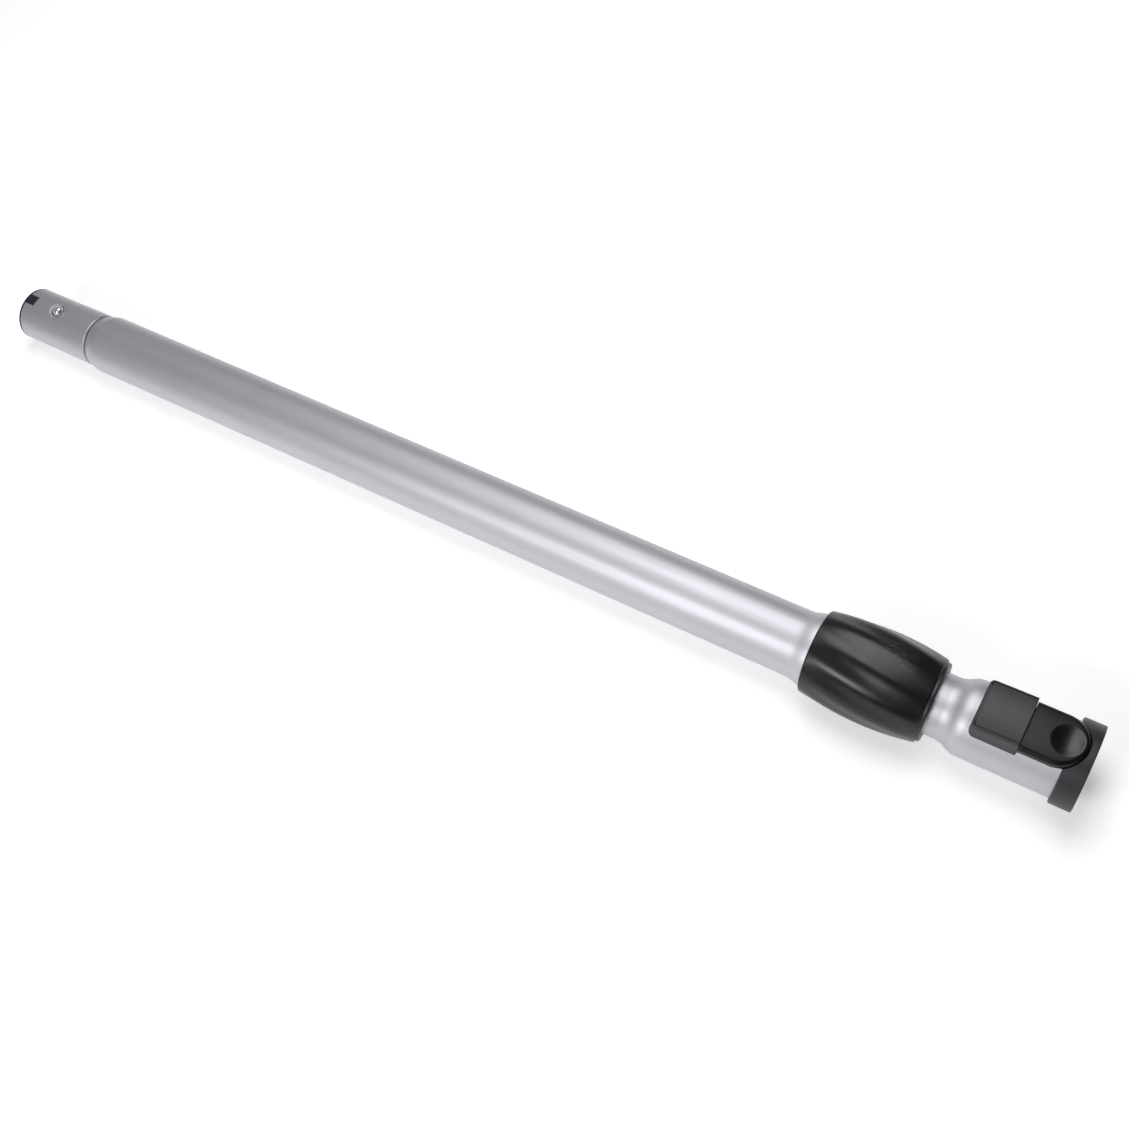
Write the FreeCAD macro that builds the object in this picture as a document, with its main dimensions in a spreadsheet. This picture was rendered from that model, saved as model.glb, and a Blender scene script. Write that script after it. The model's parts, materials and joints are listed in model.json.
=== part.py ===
# Telescopic vacuum wand, 32 mm system: a 35 mm outer tube with a plain
# spigot and snap ball, a 32 mm tube that slides out of it, a barrel-shaped
# release sleeve over the lock, and a 39 mm socket with a rocker latch.
#
# Every piece is drawn along the wand's axis: +X runs from the spigot's rim
# to the socket's mouth, +Z through the snap ball and the latch. The wand
# then gets the small lean that it has when it lies on a table.

import FreeCAD, Part
import math
import os
import Sketcher

doc = FreeCAD.newDocument("telescopic_wand")

# Driving dimensions, in millimetres and degrees
DIMENSIONS = [
    ("travel", 365.0, "how far the inner tube slides out"),
    ("spare_length", 81.7, "outer tube beyond the glide bush when collapsed"),
    ("tube_wall", 0.8, "steel wall of both tubes"),
    ("spigot_radius", 16.0, "outside of the spigot"),
    ("slide_radius", 16.0, "outside of the inner tube"),
    ("slide_room", 0.7, "between the inner and the outer tube"),
    ("run_gap", 0.05, "radial running clearance of a sliding fit"),
    ("seat_gap", 0.03, "radial clearance of a fixed plastic part in a tube"),
    ("joint_root", 0.4, "how far a joined form reaches into its neighbour"),
    ("tool_spare", 5.0, "how far a cutting form reaches past the piece"),
    ("flange_thick", 1.5, "rim flange of the spigot insert"),
    ("rim_bevel", 0.3, "bevel of the rim flange and the glide bush"),
    ("insert_wall", 1.25, "wall of the spigot insert"),
    ("insert_length", 44.0, "spigot insert behind its flange"),
    ("nose_length", 31.5, "narrower end of the spigot, which finds the socket"),
    ("nose_slope", 1.5, "slope from the spigot's nose up to its fitting part"),
    ("nose_sink", 0.2, "nose of the spigot below its fitting part"),
    ("notch_length", 6.8, "key notch in the end of the spigot"),
    ("notch_width", 6.6, "key notch in the end of the spigot"),
    ("lug_gap", 0.1, "gap round the key lug in its notch"),
    ("lug_sink", 0.05, "key lug below the surface of the spigot"),
    ("ball_place", 26.5, "snap ball behind the rim"),
    ("ball_radius", 3.4, "snap ball"),
    ("ball_rise", 2.25, "snap ball above the spigot"),
    ("ball_hole_gap", 0.5, "radial gap round the snap ball"),
    ("ball_foot_radius", 4.5, "foot that keeps the ball in the tube"),
    ("ball_foot_thick", 0.8, "foot of the snap ball"),
    ("ball_foot_gap", 0.3, "gap round the foot in the insert's window"),
    ("leaf_thick", 0.4, "leaf spring under the ball"),
    ("leaf_width", 7.0, "leaf spring under the ball"),
    ("leaf_length", 32.0, "leaf spring under the ball"),
    ("leaf_gap", 0.02, "leaf spring below the insert's bore"),
    ("leaf_window", 4.0, "insert's window beyond the ball's foot"),
    ("hook_rise", 1.0, "hook of the leaf spring"),
    ("groove_place", 53.2, "rolled groove behind the rim"),
    ("groove_width", 2.6, "rolled groove"),
    ("groove_depth", 0.6, "rolled groove"),
    ("shoulder_length", 7.0, "from the spigot up to the outer tube"),
    ("flare_length", 11.0, "from the outer tube up to the lock cup"),
    ("cup_length", 11.5, "lock cup under the sleeve"),
    ("guide_wall", 2.42, "wall of the guide bush in the lock cup"),
    ("guide_length", 6.0, "guide bush in the lock cup"),
    ("guide_bevel", 0.6, "bevel of the guide bush"),
    ("stop_gap", 0.5, "between the two bushes when pulled out"),
    ("sleeve_lead", 0.7, "edge of the release sleeve before the lock cup"),
    ("sleeve_length", 60.2, "release sleeve"),
    ("sleeve_belly", 8.6, "crest of the release sleeve above the inner tube"),
    ("sleeve_rim", 5.5, "ends of the release sleeve above the inner tube"),
    ("sleeve_bevel", 0.8, "bevel at the ends of the release sleeve"),
    ("sleeve_gap", 0.3, "radial clearance of the sleeve round the lock cup"),
    ("sleeve_travel", 7.0, "how far the sleeve slides to unlock"),
    ("lobe_count", 12.0, "twisted flutes round the sleeve"),
    ("lobe_depth", 0.65, "depth of the flutes at mid length"),
    ("lobe_twist", 0.45, "degrees that the flutes turn per millimetre"),
    ("seat_rise", 4.9, "spring seat of the lock body above the inner tube"),
    ("seat_thick", 2.5, "spring seat of the lock body"),
    ("hub_rise", 3.2, "lock body inside the spring above the inner tube"),
    ("lock_rise", 4.3, "lock body round the roller above the inner tube"),
    ("lock_gap", 0.2, "sleeve's rib to the step of the lock body, and sleeve round it"),
    ("spring_room", 12.5, "length of the return spring at rest"),
    ("spring_wire", 1.0, "wire of the return spring"),
    ("spring_turns", 3.5, "turns of the return spring"),
    ("spring_gap", 0.05, "gap at each end of a spring"),
    ("chamber_rise", 6.0, "spring chamber of the sleeve above the inner tube"),
    ("rib_thick", 3.0, "rib of the sleeve that the spring pushes"),
    ("rib_gap", 0.4, "rib round the lock body"),
    ("roller_lead", 4.94, "lock roller behind the step of the lock body"),
    ("roller_radius", 1.9, "lock roller"),
    ("roller_length", 9.0, "lock roller"),
    ("roller_rest", 0.15, "lock roller above the inner tube"),
    ("roller_lift", 1.0, "rise of the lock roller when unlocked"),
    ("roller_gap", 0.08, "lock roller in its slot"),
    ("land_gap", 0.16, "sleeve over the ends of the lock roller"),
    ("land_length", 4.0, "level stretch behind the sleeve's ramp"),
    ("notch_pitch", 36.5, "lock notches along the inner tube"),
    ("notch_depth", 0.5, "lock notches of the inner tube"),
    ("notch_gap", 0.2, "lock roller in a lock notch"),
    ("seal_length", 3.3, "lip seal of the lock body"),
    ("seal_rise", 1.85, "lip seal's outside above the inner tube"),
    ("seal_gap", 0.05, "lip seal in its room"),
    ("lip_width", 0.8, "front lip of the lip seal"),
    ("lip_depth", 0.6, "groove between the seal's lips"),
    ("ring_length", 3.8, "end ring of the lock body"),
    ("ring_show", 1.8, "end ring beyond the sleeve"),
    ("ring_gap", 0.35, "end ring round the inner tube"),
    ("ring_round", 0.5, "outer edge of the end ring"),
    ("ring_bevel", 0.4, "inner edge of the end ring"),
    ("bush_length", 18.0, "glide bush on the lower end of the inner tube"),
    ("bush_lip", 2.0, "lip of the glide bush over the tube's end"),
    ("lip_sink", 0.1, "plastic lip set back from the bore that it continues"),
    ("neck_length", 5.7, "inner tube that shows between the end ring and the swell"),
    ("swell_length", 12.0, "widening up to the socket"),
    ("liner_back", 0.5, "between the swell's end and the liner, and the liner's bevel"),
    ("liner_lip", 2.0, "lip behind the socket seal"),
    ("liner_wall", 2.57, "plastic liner of the socket"),
    ("fit_gap", 0.1, "radial gap of a spigot in the socket"),
    ("socket_depth", 54.0, "socket bore up to its seal"),
    ("relief_length", 11.2, "wider bore round the face seal and the catch tooth"),
    ("relief_depth", 0.4, "wider bore round the face seal and the catch tooth"),
    ("socket_seal_thick", 1.5, "face seal at the bottom of the socket"),
    ("socket_lip_reach", 0.8, "lip behind the face seal inside the socket's bore"),
    ("socket_seal_sink", 0.1, "face seal set back from the lip behind it"),
    ("collar_wall", 2.2, "collar round the socket tube"),
    ("collar_length", 11.0, "collar round the socket's mouth"),
    ("collar_round", 0.6, "rounding of the collar's edges"),
    ("mouth_wall", 1.3, "end wall of the collar"),
    ("mouth_bevel", 0.8, "bevel of the socket's mouth"),
    ("cover_back", 1.2, "latch cover behind the swell"),
    ("cover_length", 23.6, "latch cover along the wand"),
    ("cover_half_width", 14.0, "latch cover where it meets the tube"),
    ("cover_taper", 4.6, "slope of the latch cover's sides"),
    ("cover_corner", 3.2, "upright corners of the latch cover"),
    ("cover_sink", 1.0, "latch cover drawn below where its sides meet the tube"),
    ("cover_rise_low", 5.4, "latch cover above the socket tube at its left face"),
    ("cover_rise", 6.5, "latch cover above the socket tube at its mouth"),
    ("cover_wall", 1.6, "walls of the latch cover"),
    ("cover_slope_room", 1.0, "extra wall at the foot of the cover's sloping sides"),
    ("ceiling_rise", 4.2, "inside of the latch cover above the socket tube"),
    ("cover_edge", 0.8, "rounding of the latch cover's top edge"),
    ("mouth_gap", 0.5, "gap between the latch cover and the lever's top"),
    ("lever_gap", 0.3, "gap between the latch cover's face and the lever"),
    ("lever_rise", 2.8, "top of the latch lever above the socket tube"),
    ("lever_plate", 2.0, "thickness of the latch lever's plate"),
    ("lever_skirt", 5.3, "height of the latch lever's sides"),
    ("lever_wall", 1.3, "side wall of the latch lever"),
    ("lever_half_width", 13.3, "latch lever"),
    ("lever_rim", 3.25, "collar between the lever's end and the mouth"),
    ("tail_half_width", 8.5, "lever under the cover"),
    ("tail_thick", 1.2, "lever under the cover"),
    ("tail_end", 1.0, "lever beyond the catch tooth"),
    ("tail_root", 3.0, "lever's tail under its plate"),
    ("dish_lead", 3.5, "thumb dish beyond the centre of the lever's round end"),
    ("dish_radius", 7.4, "thumb dish"),
    ("dish_depth", 1.1, "thumb dish"),
    ("pocket_gap", 0.45, "gap round the lever's end in the collar"),
    ("pocket_wall", 1.5, "liner under the lever"),
    ("pocket_lead", 3.0, "pocket and window behind the cover's mouth"),
    ("window_margin", 1.7, "edge of the tube's window inside the lever's edge"),
    ("pivot_back", 3.8, "latch pin behind the cover's mouth"),
    ("pivot_rise", 2.2, "latch pin above the socket tube"),
    ("pin_radius", 1.0, "latch pin"),
    ("pin_half_length", 12.3, "latch pin"),
    ("pin_fit", 0.02, "latch pin in the cover's holes"),
    ("pin_end_gap", 0.05, "gap at each end of the latch pin"),
    ("boss_radius", 1.9, "boss of the lever round the latch pin"),
    ("boss_reach", 1.5, "boss of the lever beyond its tail"),
    ("tooth_lead", 6.3, "catch tooth in front of the cover's left face"),
    ("tooth_thick", 2.8, "catch tooth"),
    ("tooth_width", 5.8, "catch tooth"),
    ("tooth_reach", 0.9, "how far the tooth stands into the bore"),
    ("tooth_gap", 0.6, "gap round the tooth in its slot"),
    ("tooth_seat", 0.8, "tooth let into the lever's tail"),
    ("tooth_fit", 0.02, "tooth in its seat"),
    ("tooth_bevel", 0.2, "catching edge of the tooth"),
    ("tooth_ramp", 1.4, "sloping edge of the tooth"),
    ("latch_spring_lead", 10.8, "latch spring in front of the cover's left face"),
    ("latch_spring_length", 10.0, "bowed leaf spring of the latch"),
    ("latch_spring_width", 6.0, "bowed leaf spring of the latch"),
    ("latch_spring_thick", 0.4, "bowed leaf spring of the latch"),
]

sheet = doc.addObject("Spreadsheet::Sheet", "dim")
for row, (alias, value, meaning) in enumerate(DIMENSIONS, start=1):
    sheet.set(f"A{row}", alias)
    sheet.set(f"B{row}", str(value))
    sheet.set(f"C{row}", meaning)
    sheet.setAlias(f"B{row}", alias)
doc.recompute()

# Places along the wand, each from the one before it
NOTCH_END = "(dim.flange_thick + dim.notch_length)"
GROOVE_END = "(dim.groove_place + dim.groove_width)"
SHOULDER_END = f"({GROOVE_END} + dim.shoulder_length)"
BUSH_START = f"({SHOULDER_END} + dim.spare_length)"
TUBE_START = f"({BUSH_START} + dim.bush_lip)"
BUSH_END = f"({TUBE_START} + dim.bush_length)"
CUP_START = f"({BUSH_END} + dim.travel)"
GUIDE_START = f"({CUP_START} + dim.stop_gap)"
GUIDE_END = f"({GUIDE_START} + dim.guide_length)"
CUP_END = f"({CUP_START} + dim.cup_length)"
FLARE_START = f"({CUP_START} - dim.flare_length)"
SLEEVE_START = f"({CUP_START} - dim.sleeve_lead)"
SLEEVE_END = f"({SLEEVE_START} + dim.sleeve_length)"
SEAT_END = f"({CUP_END} + dim.seat_thick)"
RIB_START = f"({SEAT_END} + dim.spring_room)"
RIB_END = f"({RIB_START} + dim.rib_thick)"
LOCK_STEP = f"({RIB_END} + dim.lock_gap)"
ROLLER_PLACE = f"({LOCK_STEP} + dim.roller_lead)"
RING_END = f"({SLEEVE_END} + dim.ring_show)"
RING_START = f"({RING_END} - dim.ring_length)"
SWELL_START = f"({RING_END} + dim.neck_length)"
SWELL_END = f"({SWELL_START} + dim.swell_length)"
LINER_START = f"({SWELL_END} + dim.liner_back)"
SOCKET_STOP = f"({LINER_START} + dim.liner_lip)"
FIT_START = f"({SOCKET_STOP} + dim.relief_length)"
MOUTH = f"({SOCKET_STOP} + dim.socket_depth)"
COLLAR_START = f"({MOUTH} - dim.collar_length)"
TUBE_END = f"({MOUTH} - dim.mouth_wall)"
COVER_START = f"({SWELL_END} + dim.cover_back)"
COVER_END = f"({COVER_START} + dim.cover_length)"
POCKET_START = f"({COVER_END} + dim.pocket_lead)"
LEVER_START = f"({COVER_END} + dim.lever_gap)"
LEVER_ROOM_END = f"({MOUTH} - dim.lever_rim)"
LEVER_CENTRE = f"({LEVER_ROOM_END} - dim.pocket_gap - dim.lever_half_width)"
DISH_PLACE = f"({LEVER_CENTRE} + dim.dish_lead)"
PIVOT_PLACE = f"({COVER_END} - dim.pivot_back)"
TOOTH_PLACE = f"({COVER_START} + dim.tooth_lead)"
TOOTH_START = f"({TOOTH_PLACE} - dim.tooth_thick / 2)"
TOOTH_END = f"({TOOTH_PLACE} + dim.tooth_thick / 2)"
LATCH_SPRING_PLACE = f"({COVER_START} + dim.latch_spring_lead)"

# Radii of the outer tube and what it holds
NOSE_RADIUS = "(dim.spigot_radius - dim.nose_sink)"
SPIGOT_BORE = "(dim.spigot_radius - dim.tube_wall)"
INSERT_RADIUS = f"({SPIGOT_BORE} - dim.seat_gap)"
INSERT_BORE = f"({INSERT_RADIUS} - dim.insert_wall)"
LEAF_TOP = f"(sqrt({INSERT_BORE} ^ 2 - dim.leaf_width ^ 2 / 4) - dim.leaf_gap)"
OUTER_BORE = "(dim.slide_radius + dim.slide_room)"
OUTER_RADIUS = f"({OUTER_BORE} + dim.tube_wall)"
GUIDE_BORE = "(dim.slide_radius + dim.run_gap)"
GUIDE_RADIUS = f"({GUIDE_BORE} + dim.guide_wall)"
CUP_BORE = f"({GUIDE_RADIUS} + dim.seat_gap)"
CUP_RADIUS = f"({CUP_BORE} + dim.tube_wall)"
HUB_RADIUS = "(dim.slide_radius + dim.hub_rise)"
SEAT_RADIUS = "(dim.slide_radius + dim.seat_rise)"
LOCK_RADIUS = "(dim.slide_radius + dim.lock_rise)"
SEAL_RADIUS = "(dim.slide_radius + dim.seal_rise)"
CHAMBER_RADIUS = "(dim.slide_radius + dim.chamber_rise)"
BELLY_RADIUS = "(dim.slide_radius + dim.sleeve_belly)"
RIM_RADIUS = "(dim.slide_radius + dim.sleeve_rim)"
ROLLER_HEIGHT = "(dim.slide_radius + dim.roller_rest + dim.roller_radius)"

# Radii and heights of the socket and the latch
SLIDE_BORE = "(dim.slide_radius - dim.tube_wall)"
SOCKET_FIT = "(dim.spigot_radius + dim.fit_gap)"
SOCKET_RELIEF = f"({SOCKET_FIT} + dim.relief_depth)"
SOCKET_LIP = f"({SOCKET_FIT} - dim.socket_lip_reach)"
LINER_RADIUS = f"({SOCKET_FIT} + dim.liner_wall)"
SOCKET_BORE = f"({LINER_RADIUS} + dim.seat_gap)"
SOCKET_RADIUS = f"({SOCKET_BORE} + dim.tube_wall)"
SOCKET_SEAT = f"({SOCKET_RADIUS} + dim.seat_gap)"
COLLAR_RADIUS = f"({SOCKET_RADIUS} + dim.collar_wall)"
POCKET_FLOOR = f"({SOCKET_FIT} + dim.pocket_wall)"
COVER_LOW = f"({SOCKET_RADIUS} + dim.cover_rise_low)"
COVER_HIGH = f"({SOCKET_RADIUS} + dim.cover_rise)"
CEILING = f"({SOCKET_RADIUS} + dim.ceiling_rise)"
LEVER_TOP = f"({SOCKET_RADIUS} + dim.lever_rise)"
LEVER_UNDER = f"({LEVER_TOP} - dim.lever_plate)"
LEVER_FOOT = f"({LEVER_TOP} - dim.lever_skirt)"
TAIL_TOP = f"({LEVER_UNDER} + dim.tail_thick)"
PIVOT_HEIGHT = f"({SOCKET_RADIUS} + dim.pivot_rise)"


def num(text):
    """The value of an expression over the sheet."""
    return float(sheet.evalExpression(text))


def bind_point(sketch, curve, end, axis, text):
    """Hold one coordinate of a sketch point at the value of an expression."""
    if text == "0":
        sketch.addConstraint(Sketcher.Constraint("PointOnObject", curve, end, -2 if axis == "X" else -1))
        return
    index = sketch.addConstraint(Sketcher.Constraint("Distance" + axis, -1, 1, curve, end, num(text)))
    sketch.setExpression(f"Constraints[{index}]", text)


def outline(sketch, corners):
    """Draw a closed outline. A corner is (x, y), or (x, y, radius) where an
    arc of that radius leads to the next corner; a minus sign in a fourth
    entry puts the arc's centre on the right of the way."""
    points = [FreeCAD.Vector(num(c[0]), num(c[1]), 0) for c in corners]
    ends = []
    for i, corner in enumerate(corners):
        a = points[i]
        b = points[(i + 1) % len(points)]
        if len(corner) == 2:
            curve = sketch.addGeometry(Part.LineSegment(a, b), False)
            ends.append((curve, 1, 2))
            continue
        radius = num(corner[2])
        left = len(corner) == 3
        chord = b.sub(a)
        normal = FreeCAD.Vector(-chord.y, chord.x, 0).normalize()
        if not left:
            normal = normal.negative()
        centre = a.add(b).multiply(0.5).add(normal.multiply(math.sqrt(radius ** 2 - chord.Length ** 2 / 4)))
        start, stop = (a, b) if left else (b, a)
        first = math.atan2(start.y - centre.y, start.x - centre.x)
        last = math.atan2(stop.y - centre.y, stop.x - centre.x)
        whole = Part.Circle(centre, FreeCAD.Vector(0, 0, 1), radius)
        curve = sketch.addGeometry(Part.ArcOfCircle(whole, first, last), False)
        ends.append((curve, 1, 2) if left else (curve, 2, 1))
        index = sketch.addConstraint(Sketcher.Constraint("Radius", curve, radius))
        sketch.setExpression(f"Constraints[{index}]", corner[2])
    for i, (curve, first, last) in enumerate(ends):
        following = ends[(i + 1) % len(ends)]
        sketch.addConstraint(Sketcher.Constraint("Coincident", curve, last, following[0], following[1]))
        bind_point(sketch, curve, first, "X", corners[i][0])
        bind_point(sketch, curve, first, "Y", corners[i][1])


def circle(x, y, radius):
    """A circle that follows the sheet, as a drawing function."""
    def draw(sketch):
        shape = Part.Circle(FreeCAD.Vector(num(x), num(y), 0), FreeCAD.Vector(0, 0, 1), num(radius))
        curve = sketch.addGeometry(shape, False)
        bind_point(sketch, curve, 3, "X", x)
        bind_point(sketch, curve, 3, "Y", y)
        index = sketch.addConstraint(Sketcher.Constraint("Radius", curve, num(radius)))
        sketch.setExpression(f"Constraints[{index}]", radius)
    return draw


def drawn(corners):
    """An outline as a drawing function."""
    return lambda sketch: outline(sketch, corners)


def slot(x_low, x_high, half_width):
    """A rectangle across the wand's axis."""
    low, high = f"-({half_width})", f"({half_width})"
    return drawn([(x_low, low), (x_high, low), (x_high, high), (x_low, high)])


def round_ended(x_low, x_centre, radius):
    """A rectangle with a half-round end towards the socket's mouth."""
    low, high = f"-({radius})", f"({radius})"
    return drawn([(x_low, low), (x_centre, low, radius), (f"{x_centre} + {radius}", "0", radius),
                  (x_centre, high), (x_low, high)])


def new_body(name):
    """A body whose label names the piece."""
    body = doc.addObject("PartDesign::Body", name)
    body.Label = name
    return body


def new_sketch(body, name, plane, offset=None):
    """A sketch on one of the body's own planes, moved along its normal."""
    sketch = body.newObject("Sketcher::SketchObject", name)
    support = next(o for o in body.Origin.OriginFeatures if o.Role == plane)
    sketch.AttachmentSupport = [(support, "")]
    sketch.MapMode = "FlatFace"
    if offset:
        sketch.setExpression("AttachmentOffset.Base.z", offset)
    return sketch


def turned(body, name, corners, kind="PartDesign::Revolution", angle=None):
    """Turn an outline of the XZ plane round the wand's axis, all the way or
    by an angle with the latch line in its middle."""
    sketch = new_sketch(body, name + "_outline", "XZ_Plane")
    outline(sketch, corners)
    feature = body.newObject(kind, name)
    feature.Profile = sketch
    feature.ReferenceAxis = (sketch, ["H_Axis"])
    feature.Angle = 360.0
    if angle:
        feature.Midplane = True
        feature.setExpression("Angle", angle)
    body.Tip = feature
    return feature


def turned_upright(body, name, place, corners, kind="PartDesign::Revolution"):
    """Turn an outline round an upright line at a place along the wand."""
    sketch = new_sketch(body, name + "_outline", "XZ_Plane")
    sketch.setExpression("AttachmentOffset.Base.x", place)
    outline(sketch, corners)
    feature = body.newObject(kind, name)
    feature.Profile = sketch
    feature.ReferenceAxis = (sketch, ["V_Axis"])
    feature.Angle = 360.0
    body.Tip = feature
    return feature


def raised(body, name, draw, floor, height, kind="PartDesign::Pad"):
    """Pad or pocket upwards from a level surface at the height floor."""
    sketch = new_sketch(body, name + "_outline", "XY_Plane", floor)
    draw(sketch)
    feature = body.newObject(kind, name)
    feature.Profile = sketch
    feature.Type = 0
    feature.setExpression("Length", height)
    feature.Reversed = kind == "PartDesign::Pocket"
    body.Tip = feature
    return feature


def across(body, name, draw, width, kind="PartDesign::Pad"):
    """Pad or pocket an outline of the XZ plane to both sides."""
    sketch = new_sketch(body, name + "_outline", "XZ_Plane")
    draw(sketch)
    feature = body.newObject(kind, name)
    feature.Profile = sketch
    feature.Type = 0
    feature.Midplane = True
    feature.setExpression("Length", width)
    body.Tip = feature
    return feature


def cut_above(body, name, draw, reach):
    """Pocket from the wand's axis up to a height."""
    return raised(body, name, draw, "0", reach, "PartDesign::Pocket")


def swell(start, length, low, high):
    """Corners of a smooth change in radius, wider or narrower: two equal
    arcs, tangent to the axis at both ends. The last corner is left to the
    caller."""
    step = f"abs({high} - {low})"
    radius = f"(({length} ^ 2 + {step} ^ 2) / (4 * {step}))"
    hollow, round_out = (radius,), (radius, "-")
    first, second = (hollow, round_out) if num(high) > num(low) else (round_out, hollow)
    return [(start, low) + first, (f"{start} + {length} / 2", f"({low} + {high}) / 2") + second]


def inside_of(outside):
    """The way back along a tube's outline, one wall deeper."""
    inside = []
    for i in range(len(outside) - 1, -1, -1):
        corner = (outside[i][0], f"{outside[i][1]} - dim.tube_wall")
        before = outside[i - 1] if i > 0 else ()
        if len(before) == 3:
            corner += (before[2], "-")
        elif len(before) == 4:
            corner += (before[2],)
        inside.append(corner)
    return inside


def tooth_slot(body):
    """The slot that the catch tooth drops through."""
    return cut_above(body, "tooth_slot", slot(
        f"{TOOTH_START} - dim.tooth_gap", f"{TOOTH_END} + dim.tooth_gap",
        "dim.tooth_width / 2 + dim.tooth_gap"), f"2 * {SOCKET_RADIUS}")


# Outer tube: spigot with rolled groove, shoulder, long tube, lock cup
def make_outer_tube():
    body = new_body("outer_tube")
    groove_arc = "((dim.groove_width ^ 2 / 4 + dim.groove_depth ^ 2) / (2 * dim.groove_depth))"
    outside = [("dim.flange_thick", "dim.spigot_radius")]
    outside += [("dim.groove_place", "dim.spigot_radius", groove_arc)]
    outside += swell(GROOVE_END, "dim.shoulder_length", "dim.spigot_radius", OUTER_RADIUS)
    outside += [(SHOULDER_END, OUTER_RADIUS)]
    outside += swell(FLARE_START, "dim.flare_length", OUTER_RADIUS, CUP_RADIUS)
    outside += [(CUP_START, CUP_RADIUS), (CUP_END, CUP_RADIUS)]
    nose = [("dim.flange_thick", NOSE_RADIUS), ("dim.nose_length", NOSE_RADIUS),
            ("dim.nose_length + dim.nose_slope", "dim.spigot_radius")]
    turned(body, "tube_wall", nose + outside[1:] + inside_of(outside))
    cut_above(body, "key_notch", slot("0", NOTCH_END, "dim.notch_width / 2"), "2 * dim.spigot_radius")
    cut_above(body, "ball_hole", circle("dim.ball_place", "0", "dim.ball_radius + dim.ball_hole_gap"),
              "2 * dim.spigot_radius")
    return body


# Spigot insert: rim flange, thin barrel, key lug that fills the notch
def make_spigot_insert():
    body = new_body("spigot_insert")
    barrel_end = "dim.flange_thick + dim.insert_length"
    turned(body, "barrel", [
        ("0", INSERT_BORE), ("0", f"{NOSE_RADIUS} - dim.rim_bevel"), ("dim.rim_bevel", NOSE_RADIUS),
        ("dim.flange_thick", NOSE_RADIUS), ("dim.flange_thick", INSERT_RADIUS),
        (barrel_end, INSERT_RADIUS), (barrel_end, INSERT_BORE)])
    low, high = f"{INSERT_RADIUS} - dim.joint_root", f"{NOSE_RADIUS} - dim.lug_sink"
    start, stop = "dim.flange_thick - dim.joint_root", f"{NOTCH_END} - dim.lug_gap"
    turned(body, "key_lug", [(start, low), (start, high), (stop, high), (stop, low)],
           angle=f"2 * asin((dim.notch_width / 2 - dim.lug_gap) / {NOSE_RADIUS})")
    half = "(dim.ball_foot_radius + dim.ball_foot_gap)"
    reach = f"({half} + dim.leaf_window)"
    cut_above(body, "ball_window", slot(f"dim.ball_place - {reach}", f"dim.ball_place + {reach}", half),
              "2 * dim.spigot_radius")
    return body


# Snap ball: a domed button with a foot inside the tube
def make_snap_ball():
    body = new_body("snap_ball")
    top = "(dim.spigot_radius + dim.ball_rise)"
    foot_top = f"({LEAF_TOP} + dim.ball_foot_thick)"
    neck = f"(sqrt(dim.ball_radius ^ 2 - ({top} - dim.ball_radius - {foot_top}) ^ 2))"
    turned_upright(body, "dome", "dim.ball_place", [
        ("0", LEAF_TOP), ("dim.ball_foot_radius", LEAF_TOP), ("dim.ball_foot_radius", foot_top),
        (neck, foot_top, "dim.ball_radius"), ("0", top)])
    return body


# Leaf spring that carries the snap ball, hooked up into the insert's window
def make_snap_spring():
    body = new_body("snap_spring")
    low, high = "dim.ball_place - dim.leaf_length / 2", "dim.ball_place + dim.leaf_length / 2"
    hook = "(dim.ball_place + dim.ball_foot_radius + dim.leaf_window)"
    bottom, tip = f"{LEAF_TOP} - dim.leaf_thick", f"{LEAF_TOP} + dim.hook_rise"
    across(body, "leaf", drawn([
        (low, bottom), (high, bottom), (high, LEAF_TOP), (hook, LEAF_TOP), (hook, tip),
        (f"{hook} - dim.leaf_thick", tip), (f"{hook} - dim.leaf_thick", LEAF_TOP), (low, LEAF_TOP)]),
        "dim.leaf_width")
    return body


# Guide bush at the bottom of the lock cup
def make_guide_bush():
    body = new_body("guide_bush")
    turned(body, "bush", [
        (GUIDE_START, GUIDE_BORE), (GUIDE_START, f"{GUIDE_RADIUS} - dim.guide_bevel"),
        (f"{GUIDE_START} + dim.guide_bevel", GUIDE_RADIUS), (GUIDE_END, GUIDE_RADIUS),
        (GUIDE_END, GUIDE_BORE)])
    return body


# Lock body: stands in the cup, carries the spring seat, roller and seal
def make_lock_body():
    body = new_body("lock_body")
    seal_room = f"({SEAL_RADIUS} + dim.seat_gap)"
    seal_stop = f"({RING_START} - dim.seal_length - 2 * dim.seal_gap)"
    turned(body, "hub", [
        (GUIDE_END, GUIDE_BORE), (GUIDE_END, GUIDE_RADIUS), (CUP_END, GUIDE_RADIUS), (CUP_END, SEAT_RADIUS),
        (SEAT_END, SEAT_RADIUS), (SEAT_END, HUB_RADIUS), (LOCK_STEP, HUB_RADIUS), (LOCK_STEP, LOCK_RADIUS),
        (RING_START, LOCK_RADIUS), (RING_START, seal_room), (seal_stop, seal_room), (seal_stop, GUIDE_BORE)])
    half = "(dim.roller_radius + dim.roller_gap)"
    cut_above(body, "roller_slot", slot(f"{ROLLER_PLACE} - {half}", f"{ROLLER_PLACE} + {half}",
                                        "dim.roller_length / 2 + dim.roller_gap"), f"2 * {LOCK_RADIUS}")
    return body


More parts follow.
